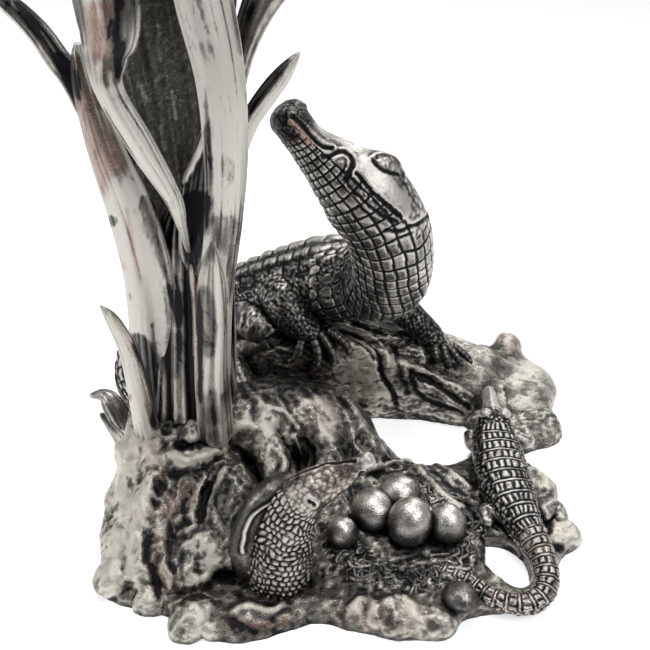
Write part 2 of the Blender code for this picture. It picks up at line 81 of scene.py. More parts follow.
def hashed(cell, seed):
    """A steady random number from 0 to 1 for each whole cell."""
    cell = cell.astype(np.int64)
    mixed = (cell[..., 0] * 73856093) ^ (cell[..., 1] * 19349663) ^ (cell[..., 2] * 83492791)
    mixed = (mixed ^ (seed * 40503 + 977)) & 0x7FFFFFFF
    mixed = ((mixed ^ (mixed >> 13)) * 1274126177) & 0x7FFFFFFF
    mixed = ((mixed ^ (mixed >> 15)) * 1103515245) & 0x7FFFFFFF
    return ((mixed ^ (mixed >> 16)) & 0xFFFFFF) / 0xFFFFFF


def noise(points, size, seed=0):
    """Smooth noise from -1 to 1 with features about size wide."""
    spot = points / size
    cell = np.floor(spot)
    t = spot - cell
    t = t * t * (3 - 2 * t)
    total = 0.0
    for corner in range(8):
        step = np.array((corner & 1, corner >> 1 & 1, corner >> 2 & 1))
        share = np.prod(np.where(step == 1, t, 1 - t), axis=-1)
        total = total + share * hashed(cell + step, seed)
    return 2 * total - 1


def rough(points, size, octaves=4, seed=0, keep=0.5):
    """Noise summed over finer and finer features."""
    total = 0.0
    whole = 0.0
    for k in range(octaves):
        total = total + keep ** k * noise(points, size / 2 ** k, seed + 17 * k)
        whole += keep ** k
    return total / whole


def creases(points, size, octaves=4, seed=0):
    """Sharp ridges from 0 to 1, as on broken rock."""
    total = 0.0
    whole = 0.0
    for k in range(octaves):
        total = total + 0.5 ** k * (1 - np.abs(noise(points, size / 2 ** k, seed + 31 * k)))
        whole += 0.5 ** k
    return total / whole


def warped(points, reach, size, seed):
    """The points pushed about by noise, so that a pattern on them bends."""
    return points + reach * np.stack([noise(points, size, seed + k) for k in (1, 2, 3)], axis=1)


def within_step(steps):
    """How far each value lies into its own whole step, from 0 to 1."""
    return steps - np.floor(steps)


def tile_number(rows, columns, seed):
    """A steady random number from 0 to 1 for each tile of a pattern."""
    return hashed(np.stack([np.floor(rows), np.floor(columns), np.zeros(len(rows))], axis=1), seed)


def pebbles(points, size, seed=0):
    """Distance to the nearest and second nearest pebble centre, and the pebble's number."""
    spot = points / size
    cell = np.floor(spot)
    nearest = np.full(len(points), 9.0)
    second = np.full(len(points), 9.0)
    number = np.zeros(len(points))
    for x in (-1, 0, 1):
        for y in (-1, 0, 1):
            for z in (-1, 0, 1):
                other = cell + (x, y, z)
                centre = other + np.stack([hashed(other, seed + k) for k in (1, 2, 3)], axis=-1)
                away = np.linalg.norm(centre - spot, axis=-1)
                closer = away < nearest
                second = np.where(closer, nearest, np.minimum(second, away))
                number = np.where(closer, hashed(other, seed + 7), number)
                nearest = np.where(closer, away, nearest)
    return nearest, second, number


def smooth_path(rows, count, closed=False):
    """Values along a smooth curve through the rows, at evenly spaced steps."""
    rows = np.array(rows, dtype=float)
    last = len(rows)
    if closed:
        padded = np.vstack([rows[-1], rows, rows[0], rows[1]])
        spans = last
    else:
        padded = np.vstack([2 * rows[0] - rows[1], rows, 2 * rows[-1] - rows[-2]])
        spans = last - 1
    steps = np.linspace(0, spans, count, endpoint=not closed)
    span = np.minimum(steps.astype(int), spans - 1)
    t = (steps - span)[:, None]
    a, b, c, d = (padded[span + k] for k in range(4))
    return 0.5 * (2 * b + (c - a) * t + (2 * a - 5 * b + 4 * c - d) * t ** 2
                  + (3 * b - a - 3 * c + d) * t ** 3)


def run_along(points):
    """The length of a path up to each of its points."""
    return np.concatenate([[0], np.cumsum(np.linalg.norm(np.diff(points, axis=0), axis=1))])


def even_path(rows, count):
    """The same curve at steps of equal length."""
    fine = smooth_path(rows, 40 * len(rows))
    run = run_along(fine[:, :3])
    wanted = np.linspace(0, run[-1], count)
    return np.stack([np.interp(wanted, run, column) for column in fine.T], axis=1)


def in_picture(points):
    """Where the viewer sees points: across, down and the distance."""
    ahead = np.array((0, math.cos(PITCH), -math.sin(PITCH)))
    above = np.array((0, math.sin(PITCH), math.cos(PITCH)))
    away = points - EYE
    deep = away @ ahead
    focus = LENS / SENSOR * PICTURE
    return np.stack([PICTURE / 2 + focus * away[..., 0] / deep,
                     PICTURE / 2 - focus * (away @ above) / deep, deep], axis=-1)


# Skins: points with a height to raise them by, a stain with painted light and shade in it, and a blush

class Skin:
    """A closed skin as points, faces and fields that carving, patina and painted light and shade add to."""

    def __init__(self, points, faces):
        self.points = points
        self.faces = faces
        self.rest()

    def rest(self):
        """Start with no height on the present points."""
        self.normals = point_normals(self.points, self.faces)
        self.height = np.zeros(len(self.points))
        self.stain_and_shade = np.zeros(len(self.points))
        self.blush = np.zeros(len(self.points))
        self.seen = in_picture(self.points)
        self.facing = np.sum(self.normals * unit(EYE - self.points), axis=1)

    def settle(self):
        """Raise the points by their heights and start again from there."""
        stain_and_shade, blush = self.stain_and_shade, self.blush
        self.points = self.points + self.normals * self.height[:, None]
        self.rest()
        self.stain_and_shade, self.blush = stain_and_shade, blush

    def spot(self, pixel):
        """The point of the skin that the viewer sees at a pixel."""
        off = np.hypot(self.seen[:, 0] - pixel[0], self.seen[:, 1] - pixel[1])
        cost = off * 4 + self.seen[:, 2] * 0.25 + np.where(self.facing > 0.05, 0, 500)
        return self.points[np.argmin(cost)]

    def line(self, pixels):
        """Distance from every point to a curve drawn over the skin in the picture."""
        if len(pixels) == 1:
            return np.linalg.norm(self.points - self.spot(pixels[0]), axis=1)
        way = smooth_path([(x, y, 0) for x, y in pixels], 8 * len(pixels))
        spots = np.array([self.spot(step) for step in way])
        for _ in range(3):
            spots[1:-1] = (spots[:-2] + 2 * spots[1:-1] + spots[2:]) / 4
        return distance_to(self.points, spots)

    def within(self, outline, soft=2.0, seed=0):
        """How far each point lies inside a shape drawn in the picture, from 0 to 1."""
        way = smooth_path([(x, y, 0) for x, y in outline], 4 * len(outline), closed=True)[:, :2]
        near = np.all((self.seen[:, :2] > way.min(0) - 8) & (self.seen[:, :2] < way.max(0) + 8), axis=1)
        share = np.zeros(len(self.points))
        spot = self.seen[near, :2]
        if len(spot) == 0:
            return share
        inside = np.zeros(len(spot), bool)
        best = np.full(len(spot), 1e9)
        for a, b in zip(way, np.roll(way, -1, axis=0)):
            along = b - a
            t = np.clip((spot - a) @ along / max(float(along @ along), 1e-9), 0, 1)
            best = np.minimum(best, np.sum((spot - a - t[:, None] * along) ** 2, axis=1))
            level = (a[1] > spot[:, 1]) != (b[1] > spot[:, 1])
            reach = a[0] + (spot[:, 1] - a[1]) / (along[1] if abs(along[1]) > 1e-6 else 1e-6) * along[0]
            inside ^= level & (spot[:, 0] < reach)
        away = np.where(inside, -1, 1) * np.sqrt(best) + 2.2 * rough(self.points[near], 5, 4, seed)
        share[near] = ramp(away, soft, -soft) * ramp(self.facing[near], -0.1, 0.15)
        return share


def paint(skin, tones, seed=400):
    """Patina and painted shade inside shapes drawn in the picture: outline, stain and shade, blush and
    softness of the edge.
    """
    for k, (outline, stain_and_shade, blush, soft) in enumerate(tones):
        share = skin.within(outline, soft, seed + k)
        skin.stain_and_shade += stain_and_shade * share
        skin.blush += blush * share


def distance_to(points, spots):
    """Distance from every point to the nearest of a run of short pieces."""
    best = np.full(len(points), 1e9)
    for a, b in zip(spots[:-1], spots[1:]):
        along = b - a
        size = max(float(along @ along), 1e-9)
        t = np.clip((points - a) @ along / size, 0, 1)
        best = np.minimum(best, np.sum((points - a - t[:, None] * along) ** 2, axis=1))
    return np.sqrt(best)


def point_normals(points, faces):
    """Normals from the faces around each point; faces are rows of four, the last may repeat."""
    a, b, c, d = (points[faces[:, k]] for k in range(4))
    across = np.cross(c - a, d - b)
    total = np.zeros_like(points)
    for k in range(4):
        for axis in range(3):
            total[:, axis] += np.bincount(faces[:, k], weights=across[:, axis], minlength=len(points))
    return unit(total)


def hollows(points, normals, faces, rounds):
    """How far each point lies below its surroundings."""
    ends = np.vstack([faces[:, [0, 1]], faces[:, [1, 2]], faces[:, [2, 3]], faces[:, [3, 0]]])
    ends = ends[ends[:, 0] != ends[:, 1]]
    count = np.maximum(np.bincount(ends[:, 0], minlength=len(points))
                       + np.bincount(ends[:, 1], minlength=len(points)), 1)
    even = points
    for _ in range(rounds):
        total = np.zeros_like(even)
        for axis in range(3):
            total[:, axis] = (np.bincount(ends[:, 0], weights=even[ends[:, 1], axis], minlength=len(points))
                              + np.bincount(ends[:, 1], weights=even[ends[:, 0], axis],
                                            minlength=len(points)))
        even = total / count[:, None]
    return np.sum((even - points) * normals, axis=1)


class Sleeve(Skin):
    """A round skin swept along a path, which knows how far along and around each point lies."""

    def __init__(self, place, rows, backs=(0, 0, 1), count=60, around=32, ends=(0.12, 0.12)):
        rows = np.array(rows, dtype=float)
        rows[:, :3] += place
        backs = np.array(backs, dtype=float)
        if backs.ndim == 1:
            backs = np.tile(backs, (len(rows), 1))
        path = even_path(np.hstack([rows, backs]), count)
        centres = path[:, :3]
        t = (np.arange(count) + 0.5) / count
        near_start = np.clip(1 - t / max(ends[0], 1e-6), 0, 1)
        near_end = np.clip(1 - (1 - t) / max(ends[1], 1e-6), 0, 1)
        full = np.sqrt(1 - near_start ** 2) * np.sqrt(1 - near_end ** 2)
        halves = path[:, 3:5] * full[:, None]
        ahead = unit(np.gradient(centres, axis=0))
        back = path[:, 5:8]
        back = unit(back - ahead * np.sum(ahead * back, axis=1, keepdims=True))
        side = np.cross(ahead, back)
        angles = np.arange(around) * 2 * math.pi / around
        rings = (centres[:, None]
                 + halves[:, 0, None, None] * np.sin(angles)[None, :, None] * side[:, None]
                 + halves[:, 1, None, None] * np.cos(angles)[None, :, None] * back[:, None])
        points = np.vstack([centres[:1], rings.reshape(-1, 3), centres[-1:]])
        run = run_along(centres)
        self.along = np.concatenate([[0], np.repeat(run, around), [run[-1]]])
        self.length = run[-1]
        self.angle = np.concatenate([[0], np.tile(angles, count), [0]])
        self.from_back = np.minimum(self.angle, 2 * math.pi - self.angle)
        self.radius = np.concatenate([[1], np.repeat(path[:, 3:5].mean(axis=1), around), [1]])
        self.count, self.around = count, around
        super().__init__(points, ring_faces(count, around))

    def mirrored(self, values):
        """The same values seen across the middle of the back."""
        grid = values[1:-1].reshape(self.count, self.around)
        other = np.roll(grid[:, ::-1], 1, axis=1)
        return np.concatenate([values[:1], other.ravel(), values[-1:]])

    def both(self, pixels):
        """Distance to a curve seen on one side and to its like on the other side."""
        near = self.line(pixels)
        return np.minimum(near, self.mirrored(near))


def ring_faces(count, around):
    """Faces of rings of points between two end points."""
    k = np.arange(around)
    after = (k + 1) % around
    start = np.stack([np.zeros(around, int), 1 + after, 1 + k, 1 + k], axis=1)
    low = 1 + np.arange(count - 1)[:, None] * around
    walls = np.stack([low + k, low + after, low + around + after, low + around + k], axis=2).reshape(-1, 4)
    top = 1 + (count - 1) * around
    end = np.stack([top + k, top + after, np.full(around, top + around), np.full(around, top + around)],
                   axis=1)
    return np.vstack([start, walls, end])


def ball(place, centre, radii, turn=0.0, lean=0.0, count=28, around=40):
    """An ellipsoid skin, turned about the upright and leaned towards its own +X."""
    heights = -np.cos((np.arange(count) + 0.5) * math.pi / count)
    angles = np.arange(around) * 2 * math.pi / around
    lean_axes = np.array([[math.cos(lean), 0, math.sin(lean)], [0, 1, 0],
                          [-math.sin(lean), 0, math.cos(lean)]])
    turn_axes = np.array([[math.cos(turn), -math.sin(turn), 0],
                          [math.sin(turn), math.cos(turn), 0], [0, 0, 1]])
    axes = turn_axes @ lean_axes
    across = np.sqrt(1 - heights ** 2)
    rings = np.stack([across[:, None] * np.cos(angles), across[:, None] * np.sin(angles),
                      np.repeat(heights[:, None], around, axis=1)], axis=2).reshape(-1, 3)
    unit_points = np.vstack([[0, 0, -1], rings, [0, 0, 1]])
    points = np.array(centre, dtype=float) + place + (unit_points * radii) @ axes.T
    return Skin(points, ring_faces(count, around))


def blade(place, rows, face, cup=0.25, thickness=3.6, count=100, around=24, rear_around=8):
    """A cupped leaf as a skin that knows how far along and across each point lies."""
    rows = np.array(rows, dtype=float)
    rows[:, :3] += place
    faces_to = np.array(face, dtype=float)
    if faces_to.ndim == 1:
        faces_to = np.tile(faces_to, (len(rows), 1))
    path = even_path(np.hstack([rows, faces_to]), count)
    centres = path[:, :3]
    t = (np.arange(count) + 0.5) / count
    near_start = np.clip(1 - t / 0.02, 0, 1)
    near_end = np.clip(1 - (1 - t) / 0.06, 0, 1)
    half = path[:, 3] * np.sqrt(1 - near_start ** 2) * np.sqrt(1 - near_end ** 2)
    ahead = unit(np.gradient(centres, axis=0))
    out = path[:, 4:7]
    out = unit(out - ahead * np.sum(ahead * out, axis=1, keepdims=True))
    side = np.cross(ahead, out)
    across = np.concatenate([np.sin(np.linspace(-0.5, 0.5, around) * math.pi),
                             np.sin(np.linspace(0.5, -0.5, rear_around) * math.pi)])
    face_side = np.repeat([1.0, -1.0], (around, rear_around))
    bend = -cup * half[:, None] * across ** 2
    thick = np.minimum(thickness / 2, 0.6 * half)[:, None] * np.sqrt(1 - 0.92 * across ** 2) * face_side
    wide = half[:, None] * across
    rings = centres[:, None] + wide[..., None] * side[:, None] + (bend + thick)[..., None] * out[:, None]
    points = np.vstack([centres[:1], rings.reshape(-1, 3), centres[-1:]])
    total = around + rear_around
    skin = Skin(points, ring_faces(count, total))
    run = run_along(centres)
    skin.along = np.concatenate([[0], np.repeat(run, total), [run[-1]]])
    skin.length = run[-1]
    skin.across = np.concatenate([[0], np.tile(across, count), [0]])
    skin.half = np.concatenate([[0], np.repeat(half, total), [0]])
    skin.front = np.concatenate([[1], np.tile(np.maximum(face_side, 0), count), [1]])
    return skin


def clay(forms, grain, soften=8):
    """Skins fused into one fine even mesh with soft seams, cut at the ground and open below."""
    points = []
    faces = []
    start = 0
    for form in forms:
        points.append(form.points + form.normals * form.height[:, None])
        faces.append(form.faces + start)
        start += len(form.points)
    body = to_object("clay", np.concatenate(points), np.concatenate(faces))
    fuse = body.modifiers.new("fuse", "REMESH")
    fuse.mode = "VOXEL"
    fuse.voxel_size = grain * MM
    graph = bpy.context.evaluated_depsgraph_get()
    mesh = bpy.data.meshes.new_from_object(body.evaluated_get(graph))
    bpy.data.objects.remove(body)
    work = bmesh.new()
    work.from_mesh(mesh)
    work.verts.ensure_lookup_table()
    unseen = set(work.verts)
    skins = []
    while unseen:
        skin = {unseen.pop()}
        edge = list(skin)
        while edge:
            for link in edge.pop().link_edges:
                for other in link.verts:
                    if other in unseen:
                        unseen.remove(other)
                        skin.add(other)
                        edge.append(other)
        skins.append(skin)
    skins.sort(key=len)
    bmesh.ops.delete(work, geom=[vertex for skin in skins[:-1] for vertex in skin], context="VERTS")
    bmesh.ops.bisect_plane(work, geom=work.verts[:] + work.edges[:] + work.faces[:], plane_co=(0, 0, 0),
                           plane_no=(0, 0, -1), clear_outer=True)
    bmesh.ops.triangulate(work, faces=[face for face in work.faces if len(face.verts) > 4])
    work.to_mesh(mesh)
    work.free()
    spots = np.empty(3 * len(mesh.vertices))
    mesh.vertices.foreach_get("co", spots)
    rows = [tuple(face.vertices) for face in mesh.polygons]
    rows = np.array([row if len(row) == 4 else row + row[-1:] for row in rows])
    bpy.data.meshes.remove(mesh)
    skin = Skin(spots.reshape(-1, 3) / MM, rows)
    for _ in range(soften):
        skin.height = 0.8 * hollows(skin.points, skin.normals, skin.faces, 2)
        skin.settle()
    return skin


def to_object(name, points, faces):
    """A mesh object from points in millimetres and rows of four corners."""
    mesh = bpy.data.meshes.new(name)
    corners = []
    for row in faces.tolist():
        corners.append(row if row[2] != row[3] else row[:3])
    mesh.from_pydata((points * MM).tolist(), [], corners)
    mesh.polygons.foreach_set("use_smooth", np.ones(len(mesh.polygons), bool))
    body = bpy.data.objects.new(name, mesh)
    bpy.context.scene.collection.objects.link(body)
    return body


def close_sole(mesh):
    """Bring an open rim down to the ground and close it with a flat underside."""
    work = bmesh.new()
    work.from_mesh(mesh)
    rim = [edge for edge in work.edges if edge.is_boundary]
    if rim:
        for edge in rim:
            for vertex in edge.verts:
                vertex.co.z = 0.0
        bmesh.ops.triangle_fill(work, use_beauty=False, edges=rim, normal=(0, 0, -1))
        work.to_mesh(mesh)
    work.free()


def piece(name, skins, material, deepen=(0.55, 0.22)):
    """One piece of the visible casting from one or more skins.

    deepen is how much stain gathers in fine and in wide hollows.
    """
    points, faces, stain_and_shade, blush = [], [], [], []
    start = 0
    for skin in skins:
        raised = skin.points + skin.normals * skin.height[:, None]
        raised[:, 2] = np.maximum(raised[:, 2], 0.0)
        normals = point_normals(raised, skin.faces)
        fine = hollows(raised, normals, skin.faces, 2)
        wide = hollows(raised, normals, skin.faces, 12)
        gathered = deepen[0] * np.clip(fine * 8, -1, 1.5) + deepen[1] * np.clip(wide * 2, -1, 2)
        stain_and_shade.append(skin.stain_and_shade + gathered)
        blush.append(skin.blush)
        points.append(raised)
        faces.append(skin.faces + start)
        start += len(raised)
    body = to_object(name, np.concatenate(points), np.concatenate(faces))
    close_sole(body.data)
    for title, values in (("stain_and_shade", stain_and_shade), ("blush", blush)):
        layer = body.data.attributes.new(title, "FLOAT", "POINT")
        layer.data.foreach_set("value", np.concatenate(values).astype(np.float32))
    body.data.materials.append(material)
    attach(body, "root")
    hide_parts(NODE)
    return body


# Materials

class Nodes:
    """A short way to write a node tree."""

    def __init__(self, name):
        self.material = bpy.data.materials.new(name)
        self.material.use_nodes = True
        self.tree = self.material.node_tree
        self.shader = self.tree.nodes["Principled BSDF"]

    def add(self, kind, values=None, **settings):
        node = self.tree.nodes.new(kind)
        for key, value in settings.items():
            setattr(node, key, value)
        for key, value in (values or {}).items():
            if isinstance(value, bpy.types.NodeSocket):
                self.tree.links.new(value, node.inputs[key])
            else:
                node.inputs[key].default_value = value
        return node

    def maths(self, operation, a, b=0.0, clamp=False):
        node = self.add("ShaderNodeMath", {0: a, 1: b}, operation=operation)
        node.use_clamp = clamp
        return node.outputs[0]

    def spread(self, value, low, high, start=0.0, end=1.0):
        return self.add("ShaderNodeMapRange", {"Value": value, "From Min": low, "From Max": high,
                                               "To Min": start, "To Max": end}).outputs[0]

    def mix(self, share, a, b):
        node = self.tree.nodes.new("ShaderNodeMix")
        node.data_type = "RGBA"
        for key, value in ((0, share), (6, a), (7, b)):
            if isinstance(value, bpy.types.NodeSocket):
                self.tree.links.new(value, node.inputs[key])
            else:
                node.inputs[key].default_value = value
        return node.outputs[2]

    def cloud(self, place, size, detail=4.0, rough_share=0.55, warp=0.0):
        return self.add("ShaderNodeTexNoise", {"Vector": place, "Scale": 1 / (size * MM), "Detail": detail,
                                               "Roughness": rough_share, "Distortion": warp}).outputs[0]


ROSY = (0.34, 0.205, 0.17, 1)


def silver(name, bright, mid, dark, lean, spread, shine, dull, stretch=(1, 1, 1), bump=0.12, grain=0.1,
           smudge=0.0, frost=0.0):
    """Worn plate: bright where it is rubbed and where highlights are painted, mid tone on open ground, dark
    where the stain and the painted shade gather.

    lean is the stain that crevices start from, and spread the strength of patches and specks. shine and
    dull are the roughness of clean and of stained ground. frost makes the palest ground matt and cloudy.
    """
    nodes = Nodes(name)
    place = nodes.add("ShaderNodeTexCoord").outputs["Object"]
    drawn = nodes.add("ShaderNodeMapping", {"Vector": place, "Scale": stretch}).outputs[0]
    stain_and_shade = nodes.add("ShaderNodeAttribute", attribute_name="stain_and_shade").outputs["Fac"]
    blush = nodes.add("ShaderNodeAttribute", attribute_name="blush").outputs["Fac"]
    patches = nodes.spread(nodes.cloud(drawn, 13, 6, 0.6, 0.6), 0.36, 0.64, -0.5, 0.5)
    specks = nodes.spread(nodes.cloud(drawn, 2.0, 6, 0.65, 0.4), 0.36, 0.64, 0.5, -0.5)
    grit = nodes.spread(nodes.cloud(drawn, 0.55, 3, 0.6), 0.34, 0.66, 0.5, -0.5)
    smudges = nodes.spread(nodes.cloud(drawn, 8, 9, 0.66, 1.2), 0.53, 0.62, 0.0, smudge)
    crevice = nodes.add("ShaderNodeAmbientOcclusion", {"Distance": 7 * MM}, samples=6).outputs["AO"]
    depth = nodes.maths("ADD", stain_and_shade, nodes.maths("MULTIPLY", patches, spread))
    depth = nodes.maths("ADD", depth, nodes.maths("MULTIPLY", specks, 0.8 * spread))
    depth = nodes.maths("ADD", depth, nodes.maths("MULTIPLY", grit, grain))
    depth = nodes.maths("ADD", depth, smudges)
    depth = nodes.maths("ADD", depth, nodes.spread(crevice, 0.9, 0.25, lean, lean + 0.5))
    shade = nodes.add("ShaderNodeValToRGB", {"Fac": depth})
    ramp_points = shade.color_ramp
    ramp_points.elements[0].position, ramp_points.elements[0].color = 0.0, bright
    ramp_points.elements[1].position, ramp_points.elements[1].color = 1.0, dark
    middle = ramp_points.elements.new(0.5)
    middle.color = mid
    rosy = nodes.maths("MULTIPLY", blush, nodes.spread(specks, 0.5, -0.4, 0.45, 1.0))
    rosy = nodes.maths("MULTIPLY", rosy, nodes.spread(depth, 0.95, 0.6, 0.0, 0.85), clamp=True)
    colour = nodes.mix(rosy, shade.outputs[0], ROSY)
    nodes.tree.links.new(colour, nodes.shader.inputs["Base Color"])
    dullness = nodes.maths("ADD", nodes.spread(depth, -0.05, 0.28, 0.7 * frost, 0.0),
                           nodes.spread(depth, 0.4, 0.95, shine, dull))
    dullness = nodes.maths("ADD", dullness, nodes.maths("MULTIPLY", grit, 0.10))
    nodes.tree.links.new(dullness, nodes.shader.inputs["Roughness"])
    metal = nodes.maths("MULTIPLY", nodes.spread(depth, 0.4, 1.0, 1.0, 0.8),
                        nodes.spread(depth, -0.05, 0.28, 1 - frost, 1.0))
    nodes.tree.links.new(metal, nodes.shader.inputs["Metallic"])
    relief = nodes.maths("ADD", nodes.maths("MULTIPLY", specks, -0.7), nodes.maths("MULTIPLY", grit, -0.3))
    raised = nodes.add("ShaderNodeBump", {"Strength": 1.0, "Distance": bump * MM, "Height": relief})
    nodes.tree.links.new(raised.outputs[0], nodes.shader.inputs["Normal"])
    return nodes.material


CROCODILE_SILVER = silver("crocodile_silver", (0.62, 0.60, 0.555, 1), (0.155, 0.148, 0.135, 1),
                          (0.009, 0.009, 0.011, 1), lean=0.52, spread=0.20, shine=0.28, dull=0.38,
                          bump=0.12, grain=0.12, frost=0.14)
EGG_SILVER = silver("egg_silver", (0.66, 0.64, 0.60, 1), (0.20, 0.192, 0.18, 1),
                    (0.016, 0.016, 0.018, 1), lean=0.44, spread=0.20, shine=0.28, dull=0.36,
                    bump=0.12, grain=0.06)
ROCK_SILVER = silver("rock_silver", (0.62, 0.585, 0.52, 1), (0.160, 0.152, 0.134, 1),
                     (0.011, 0.011, 0.013, 1), lean=0.48, spread=0.16, shine=0.25, dull=0.36,
                     bump=0.17, grain=0.13, frost=0.16)
PLANT_SILVER = silver("plant_silver", (0.61, 0.59, 0.545, 1), (0.22, 0.21, 0.19, 1),
                      (0.010, 0.010, 0.013, 1), lean=0.18, spread=0.11, shine=0.28, dull=0.42,
                      stretch=(1, 1, 0.45), bump=0.08, grain=0.09, smudge=0.26, frost=0.30)
# Painted shade: a dark silver for the inside of the hollow crown, which the other leaves shadow
SHADED_CROWN_SILVER = silver("crown_silver_painted_shade", (0.30, 0.29, 0.255, 1), (0.085, 0.082, 0.068, 1),
                      (0.016, 0.016, 0.014, 1), lean=0.20, spread=0.10, shine=0.34, dull=0.5,
                      bump=0.12, grain=0.30)


# The adult's head and neck

# From the tail to the snout: place, half width and half height, and the way of the back
SPINE = [(-92, -34, -30, 2, 2, 0, 0, 1), (-100, -14, -26, 5, 5, -0.3, 0, 1),
         (-96, 8, -20, 8, 8, -0.3, 0.3, 1), (-76, 18, -10, 12, 11, 0, 0.3, 1),
         (-50, 17, 1, 17, 14, 0, 0.2, 1), (-22, 12, 13, 22, 18, 0, 0.1, 1),
         (2, 6, 22, 23, 20, 0, 0.1, 1), (22, -3, 26, 20, 19.5, 0.2, 0.4, 1),
         (31, -17, 35, 18, 19, 0.5, 0.75, 0.6), (31, -27, 53, 18, 18.5, 0.7, 0.75, 0.2),
         (27, -32, 70, 19, 18, 0.75, 0.65, 0.25), (17, -34, 86, 20, 17.5, 0.6, 0.65, 0.48),
         (6, -34, 97, 14.5, 13, 0.575, 0.643, 0.506), (-4, -34, 107, 10, 8.8, 0.575, 0.643, 0.506),
         (-11.5, -34, 116, 8.8, 7.4, 0.575, 0.643, 0.506), (-17, -34, 123.5, 8.6, 7.2, 0.575, 0.643, 0.506)]
NECK_COLUMNS = 22
BACK_STEP = 8.4


def tiled(rows, columns, row_size, column_size, gap):
    """Rectangular scales: the groove between them, the dome on each and the scale's number."""
    row_part = within_step(rows)
    column_part = within_step(columns)
    to_row = np.minimum(row_part, 1 - row_part) * row_size
    to_column = np.minimum(column_part, 1 - column_part) * column_size
    groove = np.clip(bell(to_row, gap) + bell(to_column, gap), 0, 1)
    dome = np.sqrt(np.clip(np.sin(math.pi * row_part) * np.sin(math.pi * column_part), 0, 1))
    return groove, dome, tile_number(rows, columns, 5)


